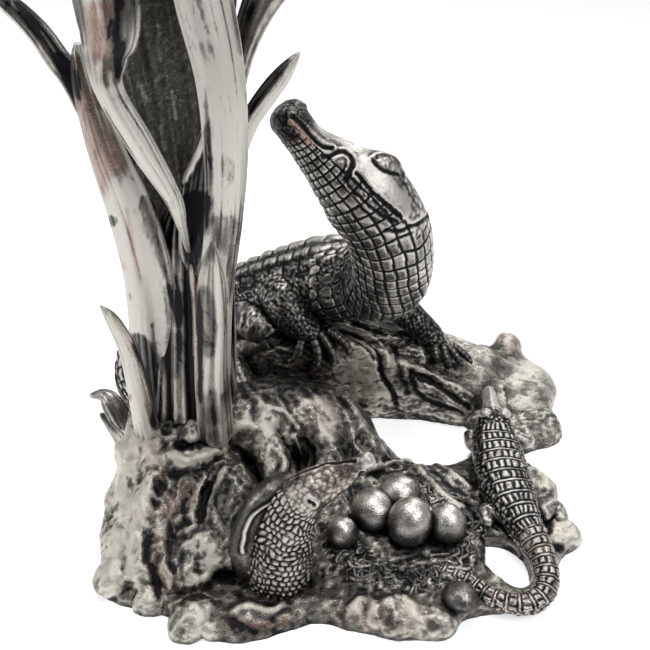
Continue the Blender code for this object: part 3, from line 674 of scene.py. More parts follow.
def adult_head():
    """Head, throat and neck, from the shoulders to the snout."""
    rows = [row[:5] for row in SPINE[6:]]
    backs = [row[5:] for row in SPINE[6:]]
    skin = Sleeve(ADULT, rows, backs, count=370, around=168, ends=(0.01, 0.045))
    to_tip = skin.length - skin.along
    angle = np.degrees(skin.from_back)
    # Brow, cheek, jaw and the narrowing behind the nose
    brow = skin.both([(383, 160), (390, 163)])
    cheek = skin.both([(412, 222)])
    skin.height += 3.0 * bell(brow, 5.5) + 1.6 * bell(cheek, 12)
    skin.height += -0.9 * bell(to_tip - 19, 8) * bell(angle - 40, 50) + 0.7 * bell(to_tip - 5, 5)
    skin.height += -1.0 * bell(angle, 22) * ramp(to_tip, 20, 34) * ramp(to_tip, 72, 52)
    skin.settle()
    skin.height += 0.5 * bell(skin.both([(300, 140), (318, 172), (335, 196), (356, 216), (382, 232)]), 4.0)
    skin.settle()
    head = ramp(to_tip, 78, 66)
    # Throat and neck scales in rows that tighten towards the snout
    size = np.interp(to_tip, [0, 14, 30, 50, 70, 160], [2.4, 2.8, 3.6, 5.0, 5.6, 5.6])
    order = np.argsort(skin.along)
    steps = np.zeros(len(skin.along))
    run = skin.along[order]
    steps[order] = np.concatenate([[0], np.cumsum(np.diff(run) / size[order][1:])])
    wander = 0.42 * noise(skin.points, 17, 3) + 0.10 * noise(skin.points, 6, 4)
    lines = 0.30 * noise(skin.points, 19, 8) + 0.10 * noise(skin.points, 6, 9)
    columns = skin.angle / (2 * math.pi) * NECK_COLUMNS
    width = 2 * math.pi * skin.radius / NECK_COLUMNS
    groove, dome, number = tiled(steps + wander, columns + lines, size, width, 0.33)
    jaw_edge = np.interp(to_tip, [0, 12, 40, 66, 80], [118, 112, 108, 96, 84])
    under = np.where(to_tip < 70, ramp(angle, jaw_edge - 3, jaw_edge + 4), 1.0)
    under = np.where((to_tip >= 70) & (angle < 40), ramp(to_tip, 70, 84), under)
    under = under * ramp(to_tip, 9, 15)
    depth = np.interp(to_tip, [0, 20, 45, 160], [0.3, 0.45, 0.75, 0.85])
    skin.height += under * (depth * 0.55 * dome - depth * groove + 0.25 * (number - 0.5))
    skin.stain_and_shade += under * (0.50 * groove + 0.44 * (number - 0.5) + 0.14)
    skin.stain_and_shade += 0.22 * ramp(skin.along, 70, 20)
    # Cap of the snout: dark, finely cracked
    cap = ramp(to_tip, 15, 10)
    near, second, _ = pebbles(skin.points, 4.2, 11)
    cracks = bell(second - near, 0.10)
    skin.height += cap * (-0.22 * cracks)
    skin.stain_and_shade += cap * (0.55 + 0.20 * cracks)
    # Wavy line of the mouth, from the nose to the hinge of the jaw
    mouth = skin.both([(292, 117), (302, 125), (311, 136), (321, 145), (332, 149)])
    lobe = skin.both([(323, 157), (330, 156), (338, 152), (347, 153), (353, 162), (349, 173), (345, 179)])
    lower = skin.both([(346, 179), (352, 190), (361, 198), (372, 208), (384, 216), (396, 221)])
    slit = skin.both([(357, 173), (364, 182), (371, 191), (386, 204), (401, 217)])
    hinge = skin.both([(386, 230), (399, 231), (411, 226), (418, 224), (428, 216)])
    hook = skin.both([(401, 217), (406, 224), (410, 228)])
    skin.height += -0.8 * bell(mouth, 0.8) + 0.45 * bell(np.abs(mouth - 1.6), 0.8)
    skin.height += -0.6 * bell(lobe, 0.8) + 0.5 * bell(np.abs(lobe - 1.7), 0.8)
    skin.height += 0.7 * bell(np.abs(lower - 1.2), 1.0) - 0.5 * bell(lower, 0.8)
    skin.height += -0.9 * bell(slit, 0.8) + 0.6 * bell(np.abs(slit - 1.5), 0.7)
    skin.height += -0.8 * bell(hinge, 0.9) - 0.6 * bell(hook, 0.8)
    skin.stain_and_shade += 0.6 * (bell(mouth, 1.2) + bell(lobe, 1.1) + bell(slit, 1.0) + bell(hinge, 1.0))
    skin.stain_and_shade -= 0.35 * bell(np.abs(slit - 1.5), 0.8)
    band = skin.both([(350, 172), (360, 187), (372, 198), (386, 210), (394, 216)])
    inside = ramp(band, 4.6, 2.8)
    near = pebbles(skin.points, 1.9, 21)[0]
    skin.height += inside * (0.55 * (1 - near) - 0.35)
    skin.stain_and_shade += inside * (0.42 + 0.5 * (near - 0.5))
    # Pink wear along the lip
    stripe = skin.line([(292, 122), (298, 128), (304, 135), (309, 143)])
    skin.blush += 1.3 * ramp(stripe, 2.0, 1.2)
    skin.height += 0.2 * ramp(stripe, 2.0, 1.0)
    skin.stain_and_shade += -0.6 * ramp(stripe, 2.0, 1.2)
    skin.blush += 0.6 * ramp(skin.line([(347, 190), (356, 202), (364, 208)]), 3.0, 1.0)
    # The eye under its brow
    eye = skin.both([(384, 163), (389, 165)])
    lid = skin.both([(371, 158), (376, 154), (385, 153), (393, 156), (399, 162), (403, 171), (405, 181)])
    under_lid = skin.both([(371, 158), (377, 166), (387, 172), (398, 174)])
    near = pebbles(skin.points, 1.5, 31)[0]
    skin.height += 1.0 * bell(eye, 3.2) + 0.35 * ramp(eye, 5, 3.5) * (0.6 - near)
    skin.height += 0.7 * bell(lid, 1.0) - 0.5 * bell(under_lid, 0.7)
    skin.stain_and_shade += 0.35 * ramp(eye, 5.5, 3.5) + 0.4 * bell(under_lid, 0.9)
    skin.stain_and_shade += 0.25 * bell(np.abs(lid - 1.4), 0.7)
    # Smooth bright cheek and brow line, mottled crown and occiput
    upper = head * ramp(angle, jaw_edge + 2, jaw_edge - 6)
    smooth = skin.both([(362, 168), (376, 182), (390, 196), (400, 206)])
    polish = ramp(smooth, 8, 4)
    skin.stain_and_shade += upper * (-0.16 - 0.40 * polish)
    crown = upper * ramp(to_tip, 40, 56) * (1 - polish) * ramp(eye, 5, 7)
    near = pebbles(skin.points, 2.6, 41)[0]
    skin.height += crown * (0.45 * (0.7 - near))
    skin.stain_and_shade += crown * (0.5 * (near - 0.45) + 0.12)
    snout = upper * ramp(to_tip, 14, 18) * ramp(to_tip, 44, 36)
    skin.height += snout * 0.35 * rough(skin.points, 4, 3, 51)
    skin.stain_and_shade += snout * 0.35 * np.clip(rough(skin.points, 5, 3, 52), -0.4, 1)
    # Nostrils on top of the nose
    tip = skin.both([(300, 101)])
    skin.height += 0.9 * bell(np.abs(tip - 2.2), 1.4) - 1.0 * bell(tip, 1.2)
    # Raised shields on the nape
    nape = ramp(angle, 46, 34) * ramp(to_tip, 74, 86)
    skin.height += nape * 0.9 * dome
    return skin


def keeled(across, rows, high, width):
    """A row of rounded scutes along the back, one to each step."""
    return high * np.sin(math.pi * np.clip(within_step(rows), 0, 1)) ** 0.6 * bell(across, width)


def adult_body():
    """Tail, belly and back up to the shoulders."""
    rows = [row[:5] for row in SPINE[:9]]
    backs = [row[5:] for row in SPINE[:9]]
    skin = Sleeve(ADULT, rows, backs, count=290, around=120, ends=(0.02, 0.05))
    angle = np.degrees(skin.from_back)
    row = skin.along / BACK_STEP
    odd = 1 + 0.45 * noise(skin.points, 7, 60)
    skin.height += odd * (keeled(angle, row, 2.2, 9.0) + keeled(angle - 24, row + 0.5, 1.1, 8.0))
    skin.height += odd * keeled(angle - 44, row, 0.9, 7.0)
    skin.settle()
    part = within_step(row)
    groove = bell(np.minimum(part, 1 - part) * BACK_STEP, 0.6) * ramp(angle, 60, 50)
    skin.stain_and_shade += 0.5 * groove - 0.22 * ramp(angle, 26, 8)
    near, _, number = pebbles(skin.points * (1, 1, 1.25), 1.9, 61)
    flank = ramp(angle, 26, 40)
    skin.height += flank * 0.6 * (0.62 - near)
    skin.stain_and_shade += flank * (0.24 * (near - 0.45) + 0.12 * (number - 0.5) + 0.40)
    skin.height += (1 - flank) * 0.3 * rough(skin.points, 2.5, 3, 63)
    wrinkle = rough(skin.points * (1.0, 0.5, 1.6), 6, 3, 64)
    skin.height += flank * 0.35 * wrinkle
    skin.stain_and_shade += 0.10 * ramp(angle, 96, 112) + 0.10
    return skin


def beaded_limb(place, rows, up=(0, 0.3, 1), size=2.0, count=72, around=48, ends=(0.05, 0.2), seed=70,
                dark=0.46, high=1.0):
    """A leg covered with rounded scales."""
    skin = Sleeve(place, rows, up, count, around, ends)
    near, _, number = pebbles(skin.points, size, seed)
    skin.height += high * 0.7 * (0.6 - near) * size / 2.0
    skin.stain_and_shade += 0.26 * (near - 0.42) + dark + 0.14 * (number - 0.5)
    skin.stain_and_shade += 0.3 * rough(skin.points, 5, 3, seed + 40)
    return skin


def toe(place, steps, thick, dark, seed):
    """A toe with rounded joints and a claw."""
    rows = [(*step, thick * size, thick * size) for step, size in zip(steps, (1.15, 1.05, 0.95, 0.5))]
    skin = Sleeve(place, rows, (0.3, 0.9, 0.3), 50, 22, (0.08, 0.16))
    share = skin.along / skin.length
    part = within_step(share * 6.5)
    skin.height += 0.14 * np.sin(math.pi * part) ** 0.7 * ramp(share, 0.95, 0.8)
    skin.stain_and_shade += 0.22 * bell(np.minimum(part, 1 - part), 0.14) + dark
    skin.height += 0.12 * rough(skin.points, 1.6, 2, seed)
    skin.stain_and_shade -= 0.15 * ramp(share, 0.80, 0.86)
    return skin


# Knuckles of each toe, from the foot to the tip of the claw
NEAR_TOES = [((-9, -17, 5), (-11, -21, 0), (-13, -22.5, -6), (-18, -22, -10)),
             ((-6, -18, 5), (-3, -22, -1), (-3, -23, -8), (-6, -23, -15)),
             ((-2, -17, 5), (3, -21, -1), (5, -22, -7), (4, -22, -12)),
             ((2, -15, 5), (8, -18, 2), (12, -20, -2), (12, -20.5, -6))]
FAR_TOES = [((57, -4, -9), (56.5, -7, -11), (57, -10, -14), (57.5, -11, -18)),
            ((60, -4, -10.5), (61.5, -8, -13.5), (63, -11, -17), (64, -12, -20.5)),
            ((62, -3, -11.5), (66, -6.5, -14.5), (69, -9, -18), (70.5, -10, -21)),
            ((64, -2, -12), (69, -4, -14.5), (73.5, -6, -18), (76, -7, -21))]


def adult_legs():
    """Forelegs, the folded hind leg beside the plant, and long toes."""
    legs = [
        ([(-22, 2, 20, 12, 12), (-18, -8, 16, 11, 11), (-13, -13, 10, 9.5, 9.5), (-7, -16, 6, 8.5, 7),
          (-3, -16, 3, 8.5, 4.5)], 1.7),
        ([(24, 12, 18, 12, 12), (38, 6, 6, 9, 8.5), (52, 0, -5, 7, 6.5), (62, -2.5, -12.5, 7, 4.5)], 1.7),
        ([(-44, 24, 4, 12, 12), (-30, 36, -2, 10, 10), (-20, 38, -6, 7, 7), (-30, 36, -10, 7, 5)], 1.8)]
    skins = [beaded_limb(ADULT, rows, size=size, count=96, around=64, seed=70 + k, dark=0.54)
             for k, (rows, size) in enumerate(legs)]
    thigh = Sleeve(ADULT, [(-44, 8, 4, 12, 12), (-34, -6, 4, 11, 10), (-25, -13, 1, 8.5, 8),
                           (-26, -13, -1, 7, 6)], (0, 0.3, 1), 90, 64, (0.05, 0.2))
    lines = creases(thigh.points * (1.0, 1.0, 0.35), 3.0, 2, 90)
    thigh.height += 0.45 * (lines - 0.6)
    thigh.stain_and_shade += 0.7 * (0.65 - lines) + 0.42
    shin = Sleeve(ADULT, [(-26, -12, -3, 6, 6), (-36, -13, -6, 6.5, 6), (-44, -14, -8, 7, 5),
                          (-38, -17, -12, 7, 5)], (0, 0.3, 1), 60, 44, (0.05, 0.2))
    shin.height += 0.5 * rough(shin.points, 4, 3, 91)
    shin.stain_and_shade += 0.40
    skins += [thigh, shin]
    skins += [toe(ADULT, steps, 2.0, 0.56, 80 + k) for k, steps in enumerate(NEAR_TOES)]
    skins += [toe(ADULT, steps, 1.8, 0.58, 84 + k) for k, steps in enumerate(FAR_TOES)]
    return skins


# Hatchlings

def small_scutes(skin, spacing, across, reach, high):
    """Bands of raised oblong scutes, a bright line between bands: where they lie, height and stain."""
    rows = skin.along / spacing + 0.05 * noise(skin.points, 5, 96)
    part = within_step(rows)
    angle = np.degrees(skin.from_back)
    signed = np.where(skin.angle > math.pi, skin.angle - 2 * math.pi, skin.angle)
    columns = signed / math.radians(reach) * across / 2 + across / 2 + 0.45 * noise(skin.points, 4, 97)
    to_side = within_step(columns)
    field = ramp(angle, reach + 6, reach - 6)
    bar = bell((part - 0.12) * spacing, 0.30)
    block = ramp(part, 0.26, 0.42) * ramp(part, 0.96, 0.80)
    block = block * ramp(np.minimum(to_side, 1 - to_side), 0.05, 0.34)
    block = block * (0.25 + 0.9 * tile_number(rows, columns, 98))
    height = field * high * (0.65 * bar + block)
    return field, height, field * (0.30 - 0.52 * np.maximum(0.85 * bar, 0.8 * block))


def climbing_hatchling():
    """The hatchling that climbs from the nest to the slab, with its long tail."""
    rows = [(-1.5, 58, 10, 3.3, 3), (-2.2, 50, 12, 3.4, 3.4), (-3.2, 41, 13, 4.3, 4), (-3, 33, 12.5, 7, 5.2),
            (-3.4, 26, 11.5, 8.5, 6), (-4, 16, 9, 11.2, 7), (-3, -8, 7, 11.8, 7.5), (0.5, -26, 5, 8.2, 6.6),
            (5.5, -42, 2, 5.8, 5.3), (6, -53, 0.5, 5, 4.7), (2.5, -61.5, -0.5, 4.5, 4.3),
            (-5.5, -65.5, -1, 4.1, 4), (-16.5, -62.5, -1, 3.8, 3.6),
            (-26, -55, 0, 3.3, 3.1), (-38, -49, 2, 2.5, 2.5)]
    skin = Sleeve(CLIMBING, rows, (0, 0, 1), 410, 84, (0.02, 0.03))
    angle = np.degrees(skin.from_back)
    share = skin.along / skin.length
    trunk = ramp(share, 0.185, 0.205) * ramp(share, 0.56, 0.53)
    tail = ramp(share, 0.53, 0.56)
    snout = ramp(share, 0.15, 0.11)
    trunk_field, trunk_height, trunk_stain = small_scutes(skin, 6.2, 6, 44, 0.9)
    tail_field, tail_height, tail_stain = small_scutes(skin, 4.6, 4, 74, 0.6)
    near = pebbles(skin.points, 1.7, 101)[0]
    sides = (1 - trunk * trunk_field - tail * tail_field) * (1 - 0.85 * ramp(share, 0.165, 0.125))
    skin.height += trunk * trunk_height + tail * tail_height + sides * 0.9 * (0.6 - near)
    skin.stain_and_shade += trunk * trunk_stain + tail * (0.7 * tail_stain - 0.04)
    skin.stain_and_shade += sides * (0.70 * (near - 0.42) + 0.30)
    # A darker band behind the head, and painted highlight: the snout made pale
    skin.stain_and_shade += 0.25 * bell(share - 0.16, 0.02) - 0.62 * snout
    skin.height += 0.40 * rough(skin.points, 2.2, 3, 104)
    skin.stain_and_shade += 0.35 * rough(skin.points, 3.4, 3, 105)
    skin.blush += 0.30 * tail
    jaws = snout * bell(angle - 98, 9)
    skin.height += -0.6 * jaws + 0.5 * snout * bell(angle, 16)
    skin.stain_and_shade += 0.7 * jaws
    skins = [skin]
    for at in ((-2.8, 56.6, 12.6), (-0.2, 56.6, 12.6)):
        skins.append(ball(CLIMBING, at, (1.0, 1.1, 0.9), count=10, around=14))
    for at in ((-7.2, 31.5, 16.4), (1.4, 31.5, 16.4)):
        eye = ball(CLIMBING, at, (3.0, 3.0, 2.8), count=18, around=26)
        eye.height += 0.25 * rough(eye.points, 1.6, 2, 103)
        # Painted light: each eye paler on top and darker underneath
        eye.stain_and_shade += 0.45 * ramp(eye.normals[:, 2], 0.75, 0.2) - 0.25
        skins.append(eye)
    legs = [[(-8, 26, 8, 4, 4), (-14, 22, 6, 3.2, 3.2), (-14, 31, 6, 3, 2.5)],
            [(4, 26, 8, 4, 4), (12, 24, 6, 3.2, 3.2), (12, 32, 6, 3, 2.5)],
            [(-5, -22, 4, 4, 4), (-13, -18, 3, 3.4, 3.2), (-14, -26, 2, 3, 2.5)],
            [(9, -22, 4, 4, 4), (17, -16, 3, 3.4, 3.2), (19, -24, 2, 3, 2.5)]]
    skins += [beaded_limb(CLIMBING, rows, (0, 0, 1), 1.3, 40, 26, (0.12, 0.12), 110 + k, 0.25, 0.5)
              for k, rows in enumerate(legs)]
    return skins


def rising_hatchling():
    """The hatchling that rises out of its broken shell, and the shell."""
    rows = [(-2, 0, -6, 13, 12), (-1, 3, 14, 13.5, 12), (3, 4, 30, 11.5, 10), (11, 5, 41, 8.5, 8.5),
            (19, 6, 46.5, 7.2, 6.5), (25, 6.5, 50, 4.6, 3.8), (31, 7, 54, 3.3, 3), (35, 7, 57, 3.8, 3.6)]
    skin = Sleeve(RISING, rows, (-0.3, -0.9, 0.3), 250, 112, (0.05, 0.035))
    share = skin.along / skin.length
    skin.height += 1.3 * bell(skin.both([(312, 500)]), 4.5)
    skin.settle()
    rows_at = skin.along / 2.7 + 0.75 * noise(skin.points, 6, 126)
    part = within_step(rows_at)
    columns = skin.angle / (2 * math.pi) * 30 + 0.5 * np.floor(rows_at) + 0.8 * noise(skin.points, 5, 127)
    to_side = within_step(columns)
    block = np.clip(np.sin(math.pi * part) * np.sin(math.pi * to_side), 0, 1) ** 0.7
    trunk = ramp(share, 0.62, 0.54)
    number = tile_number(rows_at, columns, 9)
    skin.height += trunk * 0.95 * (block - 0.4) * (0.3 + 1.0 * number)
    skin.stain_and_shade += trunk * (0.20 - 0.30 * block * (0.2 + 1.1 * number)) + 0.4 * rough(skin.points, 9, 3, 128)
    # Painted shade: darker where the skin turns away from the viewer
    skin.stain_and_shade += 0.16 * (1 - skin.facing)
    skin.blush += 0.22 + 0.4 * rough(skin.points, 8, 2, 129)
    near = pebbles(skin.points, 2.4, 121)[0]
    head = ramp(share, 0.54, 0.62)
    skin.height += head * ramp(share, 0.95, 0.85) * 0.55 * (0.6 - near)
    skin.stain_and_shade += head * (0.45 * (near - 0.5) - 0.05)
    eye = skin.line([(309, 500), (314, 504)])
    skin.height += 1.2 * bell(np.abs(eye - 1.4), 1.0)
    skin.stain_and_shade += 0.35 * bell(eye, 0.9) - 0.3 * bell(np.abs(eye - 1.8), 0.8)
    mouth = skin.both([(322, 519), (334, 505), (346, 491), (356, 480), (362, 472)])
    skin.height += -0.7 * bell(mouth, 0.7) + 0.35 * bell(mouth - 1.4, 0.7)
    skin.stain_and_shade += 0.6 * bell(mouth, 0.9)
    # Painted highlight: the bulb at the tip of the snout made pale
    skin.stain_and_shade -= 0.5 * ramp(share, 0.90, 0.97)
    skins = [skin]
    shell = Sleeve(RISING, [(-6, 8, -4, 14, 10), (-8, 10, 14, 17, 9), (-4, 12, 32, 14, 7), (4, 13, 42, 8, 4)],
                   (-0.6, 0.6, 0.4), 110, 90)
    shell.height += 0.5 * rough(shell.points, 9, 3, 123)
    # A raised ridge along the shell's edge, with a painted rim highlight: the bright line is painted pale
    rim = shell.line([(242, 553), (244, 538), (247, 525), (256, 512), (270, 502), (290, 492)])
    shell.height += 0.9 * bell(rim, 0.7)
    shell.stain_and_shade += 0.30 - 0.65 * bell(rim, 0.35) + 0.3 * rough(shell.points, 5, 3, 124)
    skins.append(shell)
    return skins


# Nest

# Middle, radii, turn and lean of each egg
EGGS = [((-13, 6, 9), (8.8, 10.2, 8.8), 0.4, 0.0), ((-1, 15, 10), (8.2, 8.8, 7.6), 1.4, 0.0),
        ((2, -3, 11), (9.4, 9.6, 11.2), 0.3, 0.25), ((18, -2, 9), (8.0, 8.4, 9.0), 0.2, -0.1),
        ((-26, -6, 8), (6.6, 6.6, 7.2), 0.8, 0.0), ((19.5, -35.5, 3.4), (6.6, 7.2, 5.4), 0.8, 0.0)]


def eggs():
    """Polished eggs in the nest and one on the rim."""
    skins = []
    for k, (centre, radii, turn, lean) in enumerate(EGGS):
        skin = ball(NEST, centre, radii, turn, lean, 32, 44)
        skin.height += 0.30 * rough(skin.points, 8, 3, 130 + k)
        cloud = rough(skin.points, 6, 4, 230 + k)
        upward = skin.normals[:, 2]
        # Cloudy stain, and painted light: the tops paler and the undersides darker by which way the skin
        # faces
        skin.stain_and_shade += 0.45 * cloud - 0.42 * ramp(upward, 0.25, 0.95) + 0.40 * ramp(upward, 0.35, -0.4)
        skins.append(skin)
    last = skins[-1]
    near = pebbles(last.points * (1, 1, 2.4), 1.2, 137)[0]
    last.height += 0.25 * (0.5 - near)
    last.stain_and_shade += 0.25 * near + 0.34
    return skins


def on_ring(turn, reach=1.0):
    """A place on the nest's ring, or as far in or out of it as reach says."""
    return 1 + 27 * reach * math.cos(turn), -2 + 24 * reach * math.sin(turn)


def straw(seed=140):
    """Trodden straw: thin strands that swirl round the eggs and out over the floor."""
    rng = np.random.default_rng(seed)
    skins = []
    for _ in range(330):
        around = rng.uniform(0, 2 * math.pi)
        out = rng.uniform(0.62, 1.38)
        arc = rng.uniform(0.10, 0.34) * rng.choice((-1, 1))
        drift = rng.uniform(-0.24, 0.24)
        curl = rng.uniform(0.02, 0.10)
        thick = rng.uniform(0.45, 0.85)
        rows = []
        for step in np.linspace(0, 1, 6):
            turn = around + arc * step
            reach = out + drift * step + curl * math.sin(5 * step + 3 * around)
            top = 5.2 * math.sqrt(max(1 - ((reach - 1) * 30 / 9.5) ** 2, 0.0)) + 1.2 * ramp(reach, 1.0, 0.7)
            high = 0.2 + 3 * math.sin(turn) * ramp(reach, 1.45, 1.15) + top
            rows.append((*on_ring(turn, reach), high, thick * 1.3, thick))
        if max(row[0] - 0.6 * row[1] for row in rows) > 38:
            continue
        skin = Sleeve(NEST, rows, (0, 0, 1), 11, 6, (0.2, 0.2))
        skin.stain_and_shade += rng.uniform(-0.05, 0.50)
        skins.append(skin)
    return skins


# Plant

def leaf_marks(skin, pale, seed, rib=0.35, cloudy=0.35):
    """Veins along a leaf, rubbed margins and smudges of stain."""
    side = skin.front * 5 + seed
    lines = noise(np.stack([skin.across * 9, skin.along * 0.02, side], axis=1), 1.0, seed)
    fine = noise(np.stack([skin.across * 26, skin.along * 0.06, side], axis=1), 1.0, seed + 1)
    skin.height += rib * (0.7 * lines + 0.3 * fine)
    edge = ramp(np.abs(skin.across), 0.86, 0.97)
    smudge = rough(skin.points * (1, 1, 0.45), 16, 4, seed + 2)
    skin.stain_and_shade += -pale + cloudy * ramp(smudge, 0.12, 0.5) - 0.25 * edge * skin.front
    skin.stain_and_shade += 0.12 * lines + 0.25 * (1 - skin.front)
    return skin


def core():
    """The sheathed foot of the stem."""
    skin = Sleeve(PLANT, [(-2, 3, -8, 22, 21), (0, 3, 24, 19, 19), (2, 3, 50, 17, 17), (3, 3, 76, 15, 14),
                          (4, 4, 94, 12, 12)], (0, 1, 0), 110, 100, (0.02, 0.25))
    lines = noise(np.stack([skin.angle * 9, skin.along * 0.015, skin.angle * 0], axis=1), 1.0, 150)
    skin.height += 1.3 * lines
    skin.stain_and_shade += 0.55 - 0.5 * lines + 0.2 * rough(skin.points * (1, 1, 0.3), 9, 3, 151)
    return skin


def crown():
    """The hollow leaf that the others sheathe, made dark as painted shade: a dark silver and extra stain."""
    skin = blade(PLANT, [(8, 2, 60, 12), (8, 3, 110, 18), (6, 5, 150, 21), (2, 8, 190, 20), (0, 12, 226, 12),
                         (0, 16, 252, 2)], (0, -1, 0), -0.45, count=170, around=60)
    # Painted shade: the inside of the hollow leaf is darkened further
    leaf_marks(skin, -0.30, 200, cloudy=0.2)
    near = pebbles(skin.points, 1.2, 203)[0]
    skin.height += 0.35 * (0.5 - near)
    for pixels in ([(157, 26), (160, 58)], [(139, 84), (147, 102)], [(160, 126), (165, 152)],
                   [(172, 90), (176, 118)]):
        skin.stain_and_shade -= 0.4 * bell(skin.line(pixels), 0.6)
    return skin


# Places with half widths, the way the leaf faces, cup, steps along and around, paleness and seed
LEAVES = {
    "rolled": ([(7.5, -13, 79, 0.8), (6.3, -17, 92, 1.9), (3.8, -18, 104, 3.6), (-5.5, -18, 123, 5.5),
                (-14.5, -16, 142, 5.8), (-15.5, -13.5, 153, 8.5), (-14, -13, 164, 12), (-16, -9, 184, 13),
                (-18, -6, 210, 11), (-24, -4, 238, 3)], (-0.35, -1, 0), 0.35, 160, 32, 0.12, 160),
    "stem": ([(-15, -9, -8, 12), (-14, -11, 30, 13), (-13, -12, 62, 13), (-17, -10, 92, 12),
              (-23, -7, 118, 9), (-26.5, -3, 140, 6.5), (-27, 1, 154, 3)],
             (-0.5, -0.9, 0), 0.5, 150, 36, 0.14, 170),
    "right": ([(14, -10, 14, 6), (17, -13, 56, 7), (22.5, -15, 92, 7.5), (25, -14, 120, 8.5),
               (24.5, -12, 146, 9), (20, -8, 172, 10), (14, -4, 204, 8), (10, -2, 234, 2)],
              (0.5, -1, 0), 0.35, 150, 32, 0.16, 180),
    "inner": ([(8, -8, 56, 5), (10, -11, 82, 6), (14, -11, 102, 7), (17, -11, 118, 5), (20, -11, 134, 1)],
              (-0.4, -1, 0.1), -0.3, 100, 24, -0.20, 190),
    "keeled": ([(14, -24, -6, 7.5), (15, -27, 28, 7), (17, -28, 54, 6.5), (18, -29, 74, 5.5),
                (19, -29, 92, 1)], (0.25, -1, 0), 0.5, 120, 28, -0.04, 210),
    "short": ([(-17, -22, -6, 7), (-17, -26, 22, 5.5), (-18, -28, 44, 4.2), (-21, -29, 58, 3),
               (-24, -30, 66, 1)], (-0.5, -1, 0), 0.5, 90, 24, 0.08, 220),
    "arch": ([(-18, 4, 110, 6), (-29, 5, 138, 5.5), (-35, 6, 147, 5), (-41, 8, 156, 4.6),
              (-49, 10, 164, 4), (-58, 12, 170, 3.2), (-68, 14, 170, 1)],
             (0.6, -0.6, 0.6), 0.4, 90, 22, -0.30, 230),
    "broad": ([(6, 6, 70, 5), (20, 8, 112, 4), (27, 10, 140, 4), (32, 12, 157, 6), (39, 14, 170, 7.5),
               (49, 16, 180, 7.5), (61, 18, 188, 6), (74, 20, 192, 1)],
              (-0.4, -1, 0.4), 0.35, 90, 24, -0.22, 240),
    "point": ([(12, -2, 84, 4), (22, -2, 106, 4), (31, 0, 125, 3.6), (38, 2, 135, 3.8), (44, 4, 142, 3.2),
               (50, 6, 149, 1)], (-0.3, -1, 0.2), 0.4, 80, 22, 0.0, 250),
    "rear left": ([(-8, 18, -6, 11), (-8, 21, 50, 12), (-9, 22, 110, 12), (-14, 26, 160, 9),
                   (-24, 34, 196, 1.5)], (-0.2, 1, 0), 0.4, 80, 24, 0.05, 260),
    "rear right": ([(10, 18, -6, 11), (11, 21, 50, 12), (13, 22, 110, 11), (20, 26, 160, 8),
                    (32, 34, 200, 1.5)], (0.3, 1, 0), 0.4, 80, 24, 0.05, 261),
    "low": ([(-30, 4, -24, 5), (-37, 10, -12, 5), (-42, 14, -9, 3), (-49, 16, -11, 1)],
            (0.2, -0.8, 0.8), 0.2, 50, 18, -0.1, 270),
    "lowest": ([(-30, -2, -26, 5), (-36, 4, -22, 3.4), (-43, 8, -15, 1)],
               (0.2, -1, 0.4), 0.2, 50, 18, -0.1, 271)}


def leaves():
    """Every other leaf of the plant, with its own marks."""
    made = {}
    for name, (rows, face, cup, count, around, pale, seed) in LEAVES.items():
        skin = blade(PLANT, rows, face, cup, count=count, around=around)
        made[name] = leaf_marks(skin, pale, seed)
    inner, ridged, broad = made["inner"], made["keeled"], made["broad"]
    for pixels in ([(182, 182), (198, 150), (211, 118)], [(186, 180), (199, 156), (208, 135)]):
        fold = inner.line(pixels)
        inner.height += 0.8 * bell(fold, 0.8)
        inner.stain_and_shade -= 0.75 * bell(fold, 0.7)
    ridged.height += 1.6 * bell(ridged.across - 0.25, 0.25) * ridged.front * ramp(ridged.half, 1, 4)
    ridged.stain_and_shade += ridged.front * 0.25 * ramp(ridged.across, 0.25, 0.1) * ramp(ridged.across, -0.95, -0.7)
    ridged.blush += 0.35 * bell(np.abs(ridged.across) - 0.9, 0.1)
    broad.stain_and_shade += 0.3 * rough(broad.points, 3, 3, 243) + 0.25 * ramp(broad.across, 0.1, -0.2)
    skins = [*made.values(), core()]
    paint(skins[0], ROLLED_TONES, 500)
    for k, skin in enumerate(skins[1:]):
        paint(skin, PLANT_TONES, 540 + 7 * k)
    return skins


